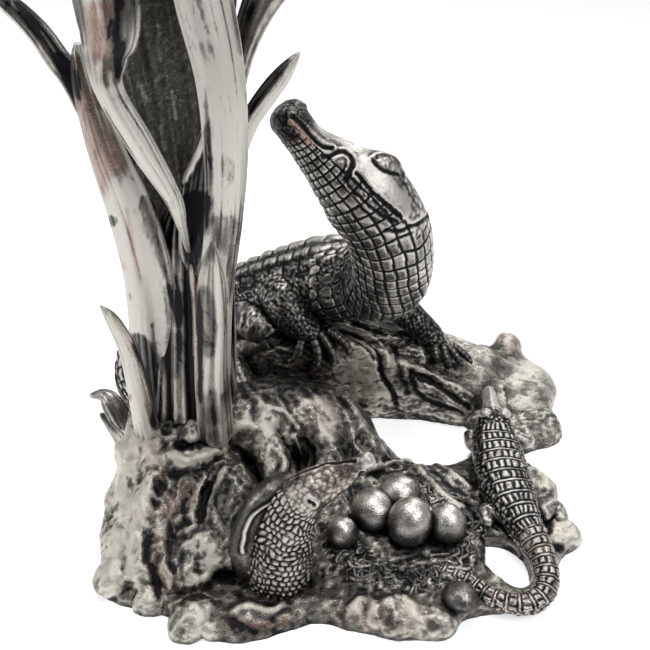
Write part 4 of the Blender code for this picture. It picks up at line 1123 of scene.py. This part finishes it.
# Darker and paler patches of the plant, drawn where the viewer sees them, as outline, stain, blush and
# softness of its edge
PLANT_TONES = [
    ([(140, 198), (145, 230), (156, 257), (168, 292), (176, 322), (182, 320), (180, 290), (172, 262),
      (165, 235), (161, 200)], 0.66, 0.0, 2),
    ([(176, 300), (190, 290), (197, 300), (199, 400), (190, 425), (184, 400), (180, 350)], 0.40, 0.2, 3),
    ([(184, 196), (211, 196), (206, 227), (204, 245), (195, 272), (190, 270), (184, 255), (181, 223)],
     0.62, 0.0, 2.5),
    ([(196, 285), (199, 285), (202, 340), (202, 396), (198, 396), (197, 340)], 0.55, 0.0, 1.5),
    ([(180, 198), (184, 170), (205, 125), (212, 118), (214, 160), (212, 228), (195, 232)], 0.36, 0.0, 2),
    ([(197, 42), (212, 44), (214, 55), (200, 56)], 0.26, 0.0, 3),
    ([(214, 93), (233, 94), (232, 101), (216, 102)], 0.20, 0.0, 3),
    ([(222, 155), (234, 160), (233, 184), (220, 174)], 0.40, 0.0, 3),
    ([(205, 85), (209, 100), (211, 150), (209, 200), (207, 230), (204, 190), (204, 140)], 0.55, 0.0, 2),
    ([(212, 216), (239, 221), (234, 268), (229, 302), (226, 257), (214, 239)], 0.50, 0.0, 4),
    ([(247, 88), (262, 75), (280, 60), (289, 64), (272, 88), (256, 108), (249, 112)], 0.70, 0.0, 2),
    ([(232, -4), (253, -4), (254, 20), (246, 52), (236, 47)], 0.50, 0.1, 2.5),
    ([(255, -4), (300, -4), (282, 20), (250, 62), (248, 52)], 0.22, 0.0, 4),
    ([(14, 0), (34, 8), (54, 30), (80, 58), (82, 102), (68, 88), (58, 68), (44, 48), (28, 24)],
     0.55, 0.15, 2.5),
    ([(-6, 4), (22, 22), (42, 46), (56, 70), (46, 66), (24, 46), (-6, 22)], -0.45, 0.0, 2),
    ([(54, 54), (80, 64), (78, 116), (66, 92)], 0.40, 0.45, 3),
    ([(0, 0), (24, 6), (52, 44), (70, 70), (60, 76), (30, 40)], 0.16, 0.0, 3),
    ([(76, 74), (90, 88), (109, 126), (127, 158), (126, 170), (112, 178), (102, 200), (94, 176), (84, 148),
      (77, 112)], 0.44, 0.85, 8),
    ([(109, 217), (113, 216), (117, 221), (114, 227), (110, 225)], 0.9, 0.0, 1.2),
    ([(125, 210), (129, 210), (135, 245), (142, 280), (139, 286), (130, 250)], 0.45, 0.6, 1.5),
    ([(115, 253), (120, 254), (121, 260), (116, 260)], 0.40, 0.6, 1.5),
    ([(120, 262), (126, 264), (125, 271), (121, 270)], 0.30, 0.6, 1.5),
    ([(128, 293), (133, 295), (131, 300)], 0.40, 0.3, 1.5),
    ([(163, 288), (170, 283), (178, 310), (178, 372), (167, 374), (164, 330)], 0.36, 0.0, 3),
    ([(151, 326), (154, 325), (160, 362), (157, 366)], 0.60, 0.0, 1.2),
    ([(132, 334), (145, 335), (155, 350), (160, 377), (162, 424), (152, 426), (151, 400), (144, 373),
      (135, 355)], 0.95, 0.0, 2),
    ([(110, 307), (129, 328), (143, 357), (151, 393), (155, 424), (150, 424), (143, 395), (136, 366),
      (125, 338), (112, 318)], 0.45, 0.4, 1.5),
    ([(127, 394), (132, 395), (131, 401), (127, 400)], 0.6, 0.0, 1.2),
    ([(160, 345), (186, 338), (192, 426), (164, 428)], 0.24, 0.1, 4),
    ([(197, 289), (213, 294), (216, 350), (204, 356), (197, 327)], 0.30, 0.0, 2.5),
    ([(203, 394), (225, 392), (228, 420), (204, 420)], 0.30, 0.0, 4),
    ([(192, 272), (199, 268), (201, 330), (204, 395), (200, 396), (196, 330)], 0.18, 0.7, 1.5),
    ([(88, 384), (120, 386), (128, 410), (112, 430), (94, 402)], 0.26, 0.0, 3)]
ROLLED_TONES = [
    ([(84, 5), (112, 3), (112, 30), (108, 56), (94, 56), (85, 30)], 0.14, 0.95, 3),
    ([(70, -4), (84, -4), (84, 30), (83, 47), (76, 30)], 0.45, 0.1, 2),
    ([(115, -4), (121, -4), (123, 50), (119, 84), (113, 60)], 0.60, 0.0, 2),
    ([(86, 52), (112, 60), (122, 78), (104, 88), (90, 75)], 0.26, 0.35, 3),
    ([(104, 108), (112, 118), (130, 150), (150, 196), (144, 190), (122, 152), (104, 124)], 0.55, 0.0, 2),
    ([(112, -4), (144, -4), (144, 60), (132, 82), (114, 70), (108, 40)], 0.66, 0.0, 5),
    ([(168, 168), (176, 180), (190, 222), (196, 244), (190, 236), (178, 206)], 0.30, 0.0, 2)]


# Ground

def lump(centre, radii, turn=0.0, place=GROUND):
    """A stone for the clay."""
    return ball(place, centre, radii, turn, count=14, around=18)


def stem_form(rows, up=(0, 0, 1), around=20, ends=(0.12, 0.12)):
    """A plain round form for the clay."""
    return Sleeve(GROUND, rows, up, 26, around, ends)


def stones_of(rows, turn=0.0):
    """Stones from their middles and radii, each turned a little more than the last."""
    return [lump((x, y, z), (a, b, c), 0.4 * k + turn) for k, (x, y, z, a, b, c) in enumerate(rows)]


def roots_of(roots):
    """Roots that swell on their way down, from three places and a half width each."""
    forms = []
    for *steps, wide in roots:
        rows = [(*step, wide * size, wide * size) for step, size in zip(steps, (0.7, 1.0, 1.2))]
        forms.append(stem_form(rows, (0, -0.6, 0.8)))
    return forms


BASE_OUTLINE = [(-100, -75), (-98, -40), (-100, 10), (-94, 58), (-66, 86), (-20, 95), (40, 98),
                (82, 98), (93, 84), (99, 62), (109, 32), (104, 17), (86, 9), (90, -6), (96, -18),
                (93, -33), (98, -47), (88, -60), (82, -80), (64, -84), (44, -88), (22, -98),
                (4, -94), (-12, -90), (-34, -98), (-56, -98), (-72, -86)]
BANK_HOLE = [(8, 42), (34, 36), (60, 31), (64, 20), (55, 1), (31, -1), (19, 18)]
TAIL_HOLE = [(55, -49), (69, -52), (76, -66), (70, -76), (61, -68), (55, -58)]
BASE_ROUNDING = BASE_THICKNESS / 3


def plate():
    """The flat base inside its outline, with its two holes."""
    curve = bpy.data.curves.new("plate", "CURVE")
    curve.dimensions = "2D"
    curve.fill_mode = "BOTH"
    curve.extrude = BASE_THICKNESS - BASE_ROUNDING
    curve.bevel_depth = BASE_ROUNDING
    curve.bevel_resolution = 2
    curve.offset = -BASE_ROUNDING
    for outline in (BASE_OUTLINE, BANK_HOLE, TAIL_HOLE):
        steps = smooth_path([(x, y, 0) for x, y in outline], 8 * len(outline), closed=True)
        spline = curve.splines.new("POLY")
        spline.points.add(len(steps) - 1)
        for point, step in zip(spline.points, steps):
            point.co = (step[0], step[1], 0, 1)
        spline.use_cyclic_u = True
    body = bpy.data.objects.new("plate", curve)
    bpy.context.scene.collection.objects.link(body)
    graph = bpy.context.evaluated_depsgraph_get()
    mesh = bpy.data.meshes.new_from_object(body.evaluated_get(graph))
    points = np.array([tuple(vertex.co) for vertex in mesh.vertices])
    fans = [tuple(face.vertices) for face in mesh.polygons]
    corners = [(row[0], row[k], row[k + 1], row[k + 1]) for row in fans for k in range(1, len(row) - 1)]
    bpy.data.objects.remove(body)
    bpy.data.meshes.remove(mesh)
    return Skin(points, np.array(corners))


def mound_forms():
    """The knotted foot of the plant with its roots and the near left stones."""
    forms = stones_of([(-91, -69, 5, 11, 9, 9), (-78, -80, 3, 9, 8, 7), (-60, -90, 3, 12, 9, 8),
                       (-38, -94, 2, 11, 8, 7), (-20, -86, 3, 10, 7, 7), (-90, 60, 5, 12, 12, 10),
                       (-95, -75, 7, 8, 8, 8)])
    forms.append(stem_form([(-70, -30, -8, 30, 44), (-71, -22, 14, 28, 34), (-72, -14, 32, 25, 26),
                            (-71, -11, 42, 24, 21), (-71, -10, 49, 20, 15)], (0, 1, 0), 40, (0.02, 0.1)))
    forms += roots_of([((-88, -24, 40), (-92, -40, 24), (-90, -64, 6), 10),
                       ((-80, -36, 36), (-82, -54, 20), (-76, -74, 4), 11),
                       ((-64, -40, 36), (-62, -58, 16), (-66, -78, 4), 9),
                       ((-52, -34, 34), (-46, -48, 24), (-48, -68, 6), 12)])
    forms.append(stem_form([(-70, 42, -8, 32, 34), (-66, 34, 16, 26, 26), (-62, 20, 34, 20, 18)],
                           (0, 1, 0), 30))
    return forms


def nest_ground_forms():
    """The base, its rim stones, the rock in the middle and the apron round the nest."""
    forms = [plate()]
    forms += stones_of([(0, -87, 2, 9, 7, 6), (16, -91, 5, 12, 8, 8), (34, -92, 4, 10, 8, 7),
                        (50, -80, 3, 8, 6, 6), (88, -34, 4, 8, 9, 7), (95, -47, 4, 8, 7, 6),
                        (91, -17, 3, 8, 8, 6), (-56, 84, 4, 18, 9, 9), (-14, 92, 4, 16, 7, 8)], 2.4)
    forms += roots_of([((-38, -20, 38), (-28, -34, 24), (-34, -52, 8), 9),
                       ((-22, -6, 42), (-8, -16, 26), (-10, -36, 8), 10),
                       ((-6, 0, 38), (8, -10, 22), (6, -30, 6), 8)])
    forms.append(stem_form([(-58, -10, 30, 22, 22), (-34, -2, 26, 20, 24), (-14, 4, 23, 18, 22),
                            (-2, 3, 18, 14, 19), (10, 0, 9, 10, 12), (20, -4, 2, 7, 6)], around=30,
                           ends=(0.05, 0.1)))
    forms.append(stem_form([(-66, -36, 12, 26, 18), (-40, -30, 8, 26, 17), (-14, -26, 4, 24, 14),
                            (12, -24, 1, 20, 12), (36, -18, 0, 15, 12), (58, -24, 0, 15, 11),
                            (74, -30, 0, 14, 12)], around=30))
    ring = [(*on_ring(a), 1 + 3 * math.sin(a), 7.5, 5) for a in np.linspace(0, 2 * math.pi, 9)[:-1]]
    forms.append(Sleeve(NEST, ring + ring[:2], (0, 0, 1), 60, 20))
    forms.append(lump((3, 3, 0), (28, 24, 5), place=NEST))
    return forms


def bank_forms():
    """The log of broken ground under the adult, and the pale slab."""
    return [stem_form([(-72, 66, 14, 28, 24), (-44, 68, 18, 29, 25), (-12, 69, 18, 27, 26),
                       (14, 68, 15, 26, 25), (38, 66, 10, 27, 22), (62, 64, 6, 28, 17),
                       (84, 62, 2, 26, 13)], around=40, ends=(0.03, 0.05)),
            stem_form([(60, 52, 4, 24, 11), (76, 58, 5, 33, 11), (88, 56, 4, 28, 10), (101, 36, 3, 15, 8)],
                      around=32, ends=(0.1, 0.2)),
            stem_form([(-52, 46, 12, 9, 28), (-22, 46, 14, 9, 29), (4, 46, 13, 8, 30), (24, 44, 10, 8, 25),
                       (46, 42, 7, 8, 18), (66, 36, 4, 9, 12)], around=32),
            lump((90, 84, 12), (8, 9, 9))]


def broken(skin, seed, deep, lie=(1.0, 1.0, 0.55)):
    """Cracked and folded ground."""
    folds = creases(warped(skin.points, 6, 16, seed) * lie, 19, 3, seed)
    skin.height += deep * 2.0 * (folds - 0.66) + 0.9 * deep * rough(skin.points, 8, 3, seed + 5)
    skin.settle()
    fine = creases(warped(skin.points, 2.6, 6, seed + 7) * lie, 5.0, 3, seed + 11)
    pits = rough(skin.points, 2.4, 2, seed + 12)
    skin.height += 0.9 * (fine - 0.65) + 0.22 * pits
    skin.stain_and_shade += 0.24 * (0.66 - folds) + 0.22 * (0.64 - fine) - 0.08 * pits


def streaked(skin, lie, size, share, seed, turn=0.5):
    """Fine folds that run over the ground, bright on their crests."""
    x, y, z = warped(skin.points, 3.2, 7, seed).T
    turned = np.stack([x * math.cos(turn) + y * math.sin(turn), y * math.cos(turn) - x * math.sin(turn),
                       z + 0.3 * x], axis=1)
    folds = creases(turned * lie, size, 3, seed)
    skin.height += share * 0.24 * size * (folds - 0.64)
    skin.stain_and_shade += share * 0.62 * (0.64 - folds)


def draw(skin, marks):
    """Ridges and grooves drawn where the viewer sees them: curve, half width, height and stain."""
    for pixels, width, high, stain_and_shade in marks:
        away = skin.line(pixels)
        skin.height += high * bell(away, width)
        skin.stain_and_shade += stain_and_shade * bell(away, width * 1.15)


# Ridges and grooves of the ground, as curve, half width, height and stain
MOUND_MARKS = [
    ([(110, 470), (114, 490), (110, 512)], 8.0, -3.2, 0.0),
    ([(110, 446), (106, 452)], 3.0, 2.2, 0.1),
    ([(131, 436), (124, 470), (120, 505), (124, 540), (116, 566)], 5.0, 1.8, -0.35),
    ([(150, 440), (152, 470), (142, 505), (138, 535), (132, 570)], 4.0, 1.2, -0.35),
    ([(140, 455), (137, 485), (131, 515), (128, 545)], 1.8, -0.6, 0.06),
    ([(163, 445), (168, 470), (158, 500), (150, 530), (146, 560)], 2.0, -1.2, 0.12),
    ([(168, 456), (185, 460), (203, 457), (220, 450)], 3.6, 2.4, -0.40),
    ([(178, 443), (190, 445), (200, 442), (212, 444)], 1.3, -2.4, 0.75),
    ([(172, 475), (190, 470), (205, 466), (220, 458)], 2.0, -1.6, 0.45),
    ([(185, 480), (178, 500), (168, 520), (158, 545)], 3.0, 1.6, -0.05),
    ([(205, 475), (196, 495), (190, 515)], 1.6, 1.2, 0.0),
    ([(214, 478), (204, 500), (200, 520)], 1.6, -1.5, 0.40),
    ([(226, 468), (214, 492), (208, 512)], 1.5, 1.2, 0.05),
    ([(176, 522), (186, 516), (194, 524), (188, 532)], 1.6, 1.4, -0.15),
    ([(160, 545), (166, 570), (172, 590), (176, 600)], 2.6, 1.6, 0.0),
    ([(186, 545), (200, 538), (212, 552), (206, 572), (194, 582)], 2.6, 1.8, -0.30),
    ([(196, 560), (200, 572)], 2.0, -1.4, 0.4),
    ([(150, 566), (156, 584), (160, 600)], 1.6, -1.4, 0.40)]
ROCK_MARKS = [
    ([(262, 404), (284, 412), (298, 428)], 1.2, 0.9, -0.15),
    ([(304, 400), (322, 402), (335, 418), (330, 436)], 3.6, 0.8, -0.20),
    ([(345, 396), (360, 420), (376, 446), (392, 462)], 2.4, 1.6, 0.0),
    ([(276, 440), (284, 462), (280, 488)], 1.6, 1.6, -0.10),
    ([(284, 438), (292, 462), (290, 486)], 1.2, -1.6, 0.45),
    ([(294, 436), (303, 458), (300, 484)], 1.5, 1.6, -0.20),
    ([(304, 440), (312, 458), (308, 474)], 1.2, -1.6, 0.45),
    ([(228, 430), (250, 424), (270, 432)], 3.0, 1.4, -0.30),
    ([(236, 450), (250, 466), (262, 490)], 2.0, -1.8, 0.35),
    ([(246, 500), (252, 498)], 2.6, 1.8, -0.25),
    ([(368, 469), (382, 466), (396, 464), (410, 460)], 1.3, 1.6, -0.35),
    ([(368, 475), (385, 473), (402, 470)], 1.2, -1.2, 0.5),
    ([(418, 470), (432, 484), (448, 500), (462, 508)], 1.6, 1.4, -0.25),
    ([(428, 466), (446, 482), (464, 494)], 1.4, -1.0, 0.35),
    ([(436, 464), (452, 474), (470, 488)], 1.6, 1.2, -0.15),
    ([(188, 604), (196, 622), (206, 634)], 3.6, 1.4, -0.35),
    ([(232, 612), (248, 606), (268, 612), (282, 604)], 1.6, 1.2, -0.1),
    ([(236, 622), (256, 630), (274, 622)], 2.4, -1.0, 0.25),
    ([(352, 612), (360, 600), (372, 604), (370, 622)], 2.0, 1.2, -0.25),
    ([(386, 604), (400, 598), (412, 606), (420, 622)], 2.4, 1.4, -0.20),
    ([(520, 470), (540, 472), (548, 486)], 2.4, 1.2, -0.2),
    ([(556, 520), (572, 528), (578, 542)], 2.4, 1.4, -0.45),
    ([(548, 545), (562, 548)], 1.8, -1.2, 0.4)]
BANK_MARKS = [
    ([(335, 330), (352, 334), (365, 341), (376, 350), (380, 362), (382, 376), (392, 392), (396, 405)],
     1.2, -1.8, 0.70),
    ([(338, 325), (356, 329), (372, 337), (384, 348), (388, 362)], 1.3, 1.0, -0.35),
    ([(344, 337), (358, 342), (368, 350), (374, 360)], 0.9, -1.2, 0.5),
    ([(412, 372), (424, 378), (440, 388), (455, 398), (470, 408)], 1.3, -1.6, 0.6),
    ([(412, 372), (414, 386), (424, 398), (440, 406), (462, 412)], 1.3, -1.4, 0.6),
    ([(418, 368), (436, 376), (456, 386), (472, 396)], 1.3, 1.1, -0.35),
    ([(424, 386), (440, 394), (454, 402)], 1.6, 0.9, -0.1),
    ([(310, 296), (330, 306), (352, 318), (366, 325), (378, 327)], 1.0, 1.0, -0.45),
    ([(246, 338), (262, 340), (280, 334)], 1.4, -1.8, 0.6),
    ([(400, 330), (418, 345), (424, 360)], 2.0, 1.0, -0.15),
    ([(394, 345), (400, 372), (408, 392)], 1.6, -1.0, 0.35)]


# Patina and painted shade of the ground, as outline, stain, blush and softness of its edge
MOUND_TONES = [
    ([(118, 434), (144, 434), (162, 455), (167, 482), (154, 513), (138, 533), (136, 558), (128, 584),
      (110, 586), (104, 563), (106, 533), (112, 513), (108, 472)], -0.34, 0.0, 7),
    ([(144, 467), (156, 465), (161, 480), (157, 492), (147, 488)], 0.42, 0.0, 2),
    ([(126, 474), (131, 478), (134, 490), (129, 488)], 0.45, 0.0, 1.5),
    ([(141, 512), (147, 513), (149, 519), (143, 521)], 0.5, 0.5, 1.5),
    ([(114, 505), (120, 505), (120, 510), (115, 511)], 0.55, 0.0, 1.5),
    ([(116, 523), (123, 522), (124, 528), (117, 529)], 0.45, 0.3, 1.5),
    ([(138, 430), (152, 436), (163, 452), (168, 476), (161, 482), (155, 458), (140, 440)], 0.10, 0.5, 3),
    ([(169, 451), (187, 449), (207, 446), (222, 436), (243, 423), (263, 416), (279, 426), (273, 441),
      (243, 454), (217, 462), (194, 467), (174, 464)], -0.36, 0.0, 3),
    ([(177, 447), (197, 445), (207, 441), (213, 444), (200, 449), (180, 451)], 1.0, 0.0, 1.5),
    ([(165, 500), (187, 482), (195, 492), (190, 512), (172, 526), (163, 518)], 0.02, 0.55, 6),
    ([(197, 492), (217, 479), (248, 467), (279, 446), (289, 472), (268, 492), (248, 523), (238, 553),
      (212, 553), (197, 533)], 0.18, 0.0, 7),
    ([(171, 476), (196, 470), (222, 462), (222, 470), (196, 480), (172, 490)], 0.22, 0.0, 5),
    ([(187, 558), (200, 548), (217, 553), (222, 574), (212, 594), (197, 594), (187, 579)], -0.28, 0.0, 7),
    ([(95, 571), (113, 566), (121, 579), (121, 596), (104, 600)], -0.25, 0.0, 3),
    ([(120, 556), (127, 560), (128, 590), (123, 600), (119, 580)], 0.22, 0.0, 3),
    ([(130, 586), (152, 584), (158, 604), (138, 607)], -0.38, 0.0, 2.5),
    ([(154, 525), (162, 535), (172, 560), (178, 597), (165, 604), (160, 574), (150, 545)], 0.0, 0.45, 6),
    ([(184, 607), (207, 604), (220, 620), (212, 640), (192, 635), (184, 620)], -0.32, 0.0, 5),
    ([(207, 628), (221, 622), (222, 645), (209, 645)], -0.1, 0.8, 2)]
ROCK_TONES = [
    ([(235, 375), (300, 370), (332, 384), (304, 402), (262, 402), (235, 396)], 0.36, 0.0, 4),
    ([(314, 398), (328, 399), (336, 412), (332, 430), (326, 437), (318, 420)], -0.36, 0.35, 6),
    ([(245, 420), (275, 412), (300, 425), (300, 445), (270, 450), (245, 440)], -0.16, 0.0, 8),
    ([(296, 446), (330, 440), (352, 452), (330, 470), (300, 480), (270, 492), (276, 462)], 0.26, 0.0, 4),
    ([(340, 400), (372, 420), (392, 452), (380, 462), (356, 440)], 0.16, 0.0, 4),
    ([(330, 545), (400, 560), (470, 548), (482, 585), (420, 600), (340, 592)], 0.12, 0.0, 5),
    ([(220, 553), (243, 553), (244, 594), (222, 592)], 0.10, 0.0, 3),
    ([(228, 612), (262, 622), (290, 614), (294, 630), (262, 642), (230, 634)], 0.20, 0.15, 3),
    ([(236, 614), (262, 622), (288, 616), (286, 622), (262, 630), (238, 622)], -0.35, 0.55, 2),
    ([(355, 605), (375, 600), (380, 628), (362, 630)], -0.32, 0.35, 3),
    ([(396, 600), (420, 598), (426, 622), (405, 632)], -0.30, 0.2, 3),
    ([(525, 468), (546, 468), (552, 486), (530, 494)], -0.15, 0.0, 3),
    ([(555, 522), (572, 524), (584, 538), (572, 546), (556, 540)], -0.48, 0.0, 2.5),
    ([(532, 500), (548, 498), (556, 520), (546, 530)], 0.25, 0.0, 3)]
BANK_TONES = [
    ([(334, 348), (356, 344), (376, 358), (382, 382), (384, 400), (365, 400), (344, 392), (331, 365)],
     -0.52, 0.0, 8),
    ([(396, 372), (413, 369), (462, 382), (478, 394), (462, 413), (420, 398)], 0.22, 0.0, 4),
    ([(386, 405), (430, 412), (470, 424), (460, 430), (420, 426), (390, 414)], 0.30, 0.0, 4),
    # Painted shadow around the near foreleg's toes
    ([(230, 340), (335, 338), (338, 362), (318, 384), (280, 386), (240, 378)], 0.34, 0.0, 6),
    ([(280, 290), (345, 300), (395, 322), (390, 334), (340, 322), (290, 316)], 0.36, 0.0, 4),
    ([(524, 420), (552, 424), (562, 434), (541, 446), (520, 440)], 0.35, 0.0, 3),
    ([(476, 356), (503, 351), (514, 370), (489, 384)], 0.25, 0.0, 5),
    ([(500, 336), (512, 331), (522, 338), (520, 350), (506, 354)], 0.08, 0.2, 3),
    ([(477, 394), (483, 383), (495, 383), (503, 398), (512, 418), (476, 420)], 0.42, 0.0, 4)]


def mound():
    """The plant's foot: pale and smooth on the left, dark and folded on the right."""
    skin = clay(mound_forms(), 0.85, 20)
    draw(skin, MOUND_MARKS)
    skin.settle()
    left = ramp(skin.points[:, 0], -84, -96)
    broken(skin, 300, 1.0)
    skin.stain_and_shade += 0.08 - 0.12 * left
    paint(skin, MOUND_TONES, 400)
    low = ramp(skin.points[:, 2], 4, 14)
    streaked(skin, (1.0, 0.6, 0.2), 6.5, low * (1.0 - 0.5 * left), 410)
    skin.stain_and_shade += 0.30 * left * rough(skin.points * (1, 1, 0.4), 9, 4, 414)
    return skin


def nest_ground():
    """The middle rock and the floor of the nest."""
    skin = clay(nest_ground_forms(), 1.0, 34)
    draw(skin, ROCK_MARKS)
    skin.settle()
    broken(skin, 320, 0.9, (0.7, 1.0, 0.9))
    skin.stain_and_shade += 0.08
    paint(skin, ROCK_TONES, 430)
    streaked(skin, (1.0, 0.35, 0.35), 5.4, 0.9 * ramp(skin.points[:, 2], 6, 14), 490)
    hatch = ramp(skin.line([(345, 560), (380, 572), (420, 574), (455, 562)]), 12, 6)
    swirl = creases(skin.points * (0.5, 1.0, 0.6) + 3 * noise(skin.points, 9, 331)[:, None], 2.6, 2, 332)
    skin.height += hatch * 1.2 * (swirl - 0.6)
    skin.stain_and_shade += hatch * (0.9 * (0.65 - swirl) + 0.10)
    return skin


def bank():
    """The bank: bark-like, split by a long groove, with a smooth pale slab at its right end."""
    skin = clay(bank_forms(), 0.85, 14)
    x, y = skin.points[:, 0], skin.points[:, 1]
    slab = ramp(x, 54, 72)
    top = 15 + 0.20 * (y - 50) - 0.10 * (x - 85)
    over = np.clip(skin.points[:, 2] - top, 0, 9)
    knob = ramp(np.hypot(x - 90, y - 84), 9, 13)
    skin.points[:, 2] -= 0.88 * over * slab * knob
    skin.rest()
    draw(skin, BANK_MARKS)
    skin.settle()
    slab = ramp(skin.points[:, 0], 54, 72)
    folds = creases(warped(skin.points, 4, 14, 340) * (0.5, 1.0, 1.0), 13, 4, 343)
    facets = pebbles(skin.points * (0.8, 0.8, 1.4), 17, 346)[0]
    skin.height += (1 - slab) * 2.2 * (folds - 0.68)
    skin.height += slab * (2.6 * (0.5 - facets) + 0.7 * rough(skin.points, 9, 3, 344))
    skin.settle()
    fine = creases(warped(skin.points, 2, 5, 350) * (0.45, 1.0, 1.0), 4.2, 3, 345)
    pits = rough(skin.points, 2.4, 2, 354)
    skin.height += (1 - 0.85 * slab) * 1.1 * (fine - 0.65) + 0.22 * (1 - 0.6 * slab) * pits
    skin.stain_and_shade += (1 - 0.7 * slab) * (0.24 * (0.66 - folds) + 0.22 * (0.64 - fine) - 0.08 * pits)
    skin.stain_and_shade += -0.05 - 0.24 * slab + slab * 0.35 * ramp(rough(skin.points, 12, 5, 347), 0.05, 0.4)
    paint(skin, BANK_TONES, 460)
    streaked(skin, (0.3, 1.0, 0.9), 3.8, 1 - 0.8 * slab, 480, 0.1)
    return skin


piece("adult_head", [adult_head()], CROCODILE_SILVER)
piece("adult_body", [adult_body()], CROCODILE_SILVER)
piece("adult_legs", adult_legs(), CROCODILE_SILVER)
piece("hatchling_on_the_slab", climbing_hatchling(), CROCODILE_SILVER)
piece("hatchling_in_its_shell", rising_hatchling(), CROCODILE_SILVER)
piece("eggs", eggs(), EGG_SILVER, (0.1, 0.1))
piece("straw", straw(), CROCODILE_SILVER, (0.1, 0.1))
piece("leaves", leaves(), PLANT_SILVER, (0.4, 0.12))
piece("crown", [crown()], SHADED_CROWN_SILVER, (0.2, 0.1))
piece("mound", [mound()], ROCK_SILVER, (0.28, 0.09))
piece("nest_ground", [nest_ground()], ROCK_SILVER, (0.28, 0.09))
piece("bank", [bank()], ROCK_SILVER, (0.28, 0.09))


# Floor, light and camera

FLOOR_REACH = 3000
FLOOR_LEVEL = -0.2

# Name, place, what it faces, size and power of each lamp
LAMPS = [("key", (420, -380, 700), (0, 0, 90), 380, 2.5),
         ("fill", (-620, -260, 420), (-40, 0, 110), 380, 1.2),
         ("top", (-60, 120, 900), (0, 0, 60), 420, 3.2),
         ("rim", (300, 620, 420), (20, 20, 80), 320, 1.3)]


def studio():
    """A pale floor, soft light and the camera."""
    scene = bpy.context.scene
    square = [(-FLOOR_REACH, -FLOOR_REACH), (FLOOR_REACH, -FLOOR_REACH), (FLOOR_REACH, FLOOR_REACH),
              (-FLOOR_REACH, FLOOR_REACH)]
    floor = to_object("floor", np.array([(x, y, FLOOR_LEVEL) for x, y in square]), np.array([(0, 1, 2, 3)]))
    paper = Nodes("paper")
    place = paper.add("ShaderNodeTexCoord").outputs["Object"]
    grain = paper.cloud(place, 900, 2)
    paper.tree.links.new(paper.mix(grain, (0.86, 0.86, 0.86, 1), (0.9, 0.9, 0.9, 1)),
                         paper.shader.inputs["Base Color"])
    paper.shader.inputs["Roughness"].default_value = 0.9
    paper.shader.inputs["Emission Color"].default_value = (1, 1, 1, 1)
    paper.shader.inputs["Emission Strength"].default_value = 0.62
    floor.data.materials.append(paper.material)
    world = bpy.data.worlds.new("studio")
    scene.world = world
    world.use_nodes = True
    tree = world.node_tree
    coords = tree.nodes.new("ShaderNodeTexCoord")
    split = tree.nodes.new("ShaderNodeSeparateXYZ")
    shade = tree.nodes.new("ShaderNodeValToRGB")
    tree.links.new(coords.outputs["Generated"], split.inputs[0])
    tree.links.new(split.outputs[1], shade.inputs[0])
    shade.color_ramp.elements[0].position = 0.0
    shade.color_ramp.elements[0].color = (0.30, 0.30, 0.31, 1)
    shade.color_ramp.elements[1].position = 0.5
    shade.color_ramp.elements[1].color = (0.95, 0.95, 0.95, 1)
    tree.links.new(shade.outputs[0], tree.nodes["Background"].inputs[0])
    tree.nodes["Background"].inputs[1].default_value = 0.46
    for name, place, target, size, power in LAMPS:
        lamp = bpy.data.lights.new(name, "AREA")
        lamp.size = size * MM
        lamp.energy = power
        body = bpy.data.objects.new(name, lamp)
        body.location = Vector(place) * MM
        body.rotation_euler = (Vector(target) - Vector(place)).to_track_quat("-Z", "Y").to_euler()
        scene.collection.objects.link(body)
    lens = bpy.data.cameras.new("camera")
    lens.lens = LENS
    lens.sensor_width = SENSOR
    lens.clip_start = 0.01
    camera = bpy.data.objects.new("camera", lens)
    camera.location = Vector(EYE) * MM
    camera.rotation_euler = (math.pi / 2 - PITCH, 0, 0)
    scene.collection.objects.link(camera)
    scene.camera = camera
    scene.view_settings.view_transform = "Standard"


studio()
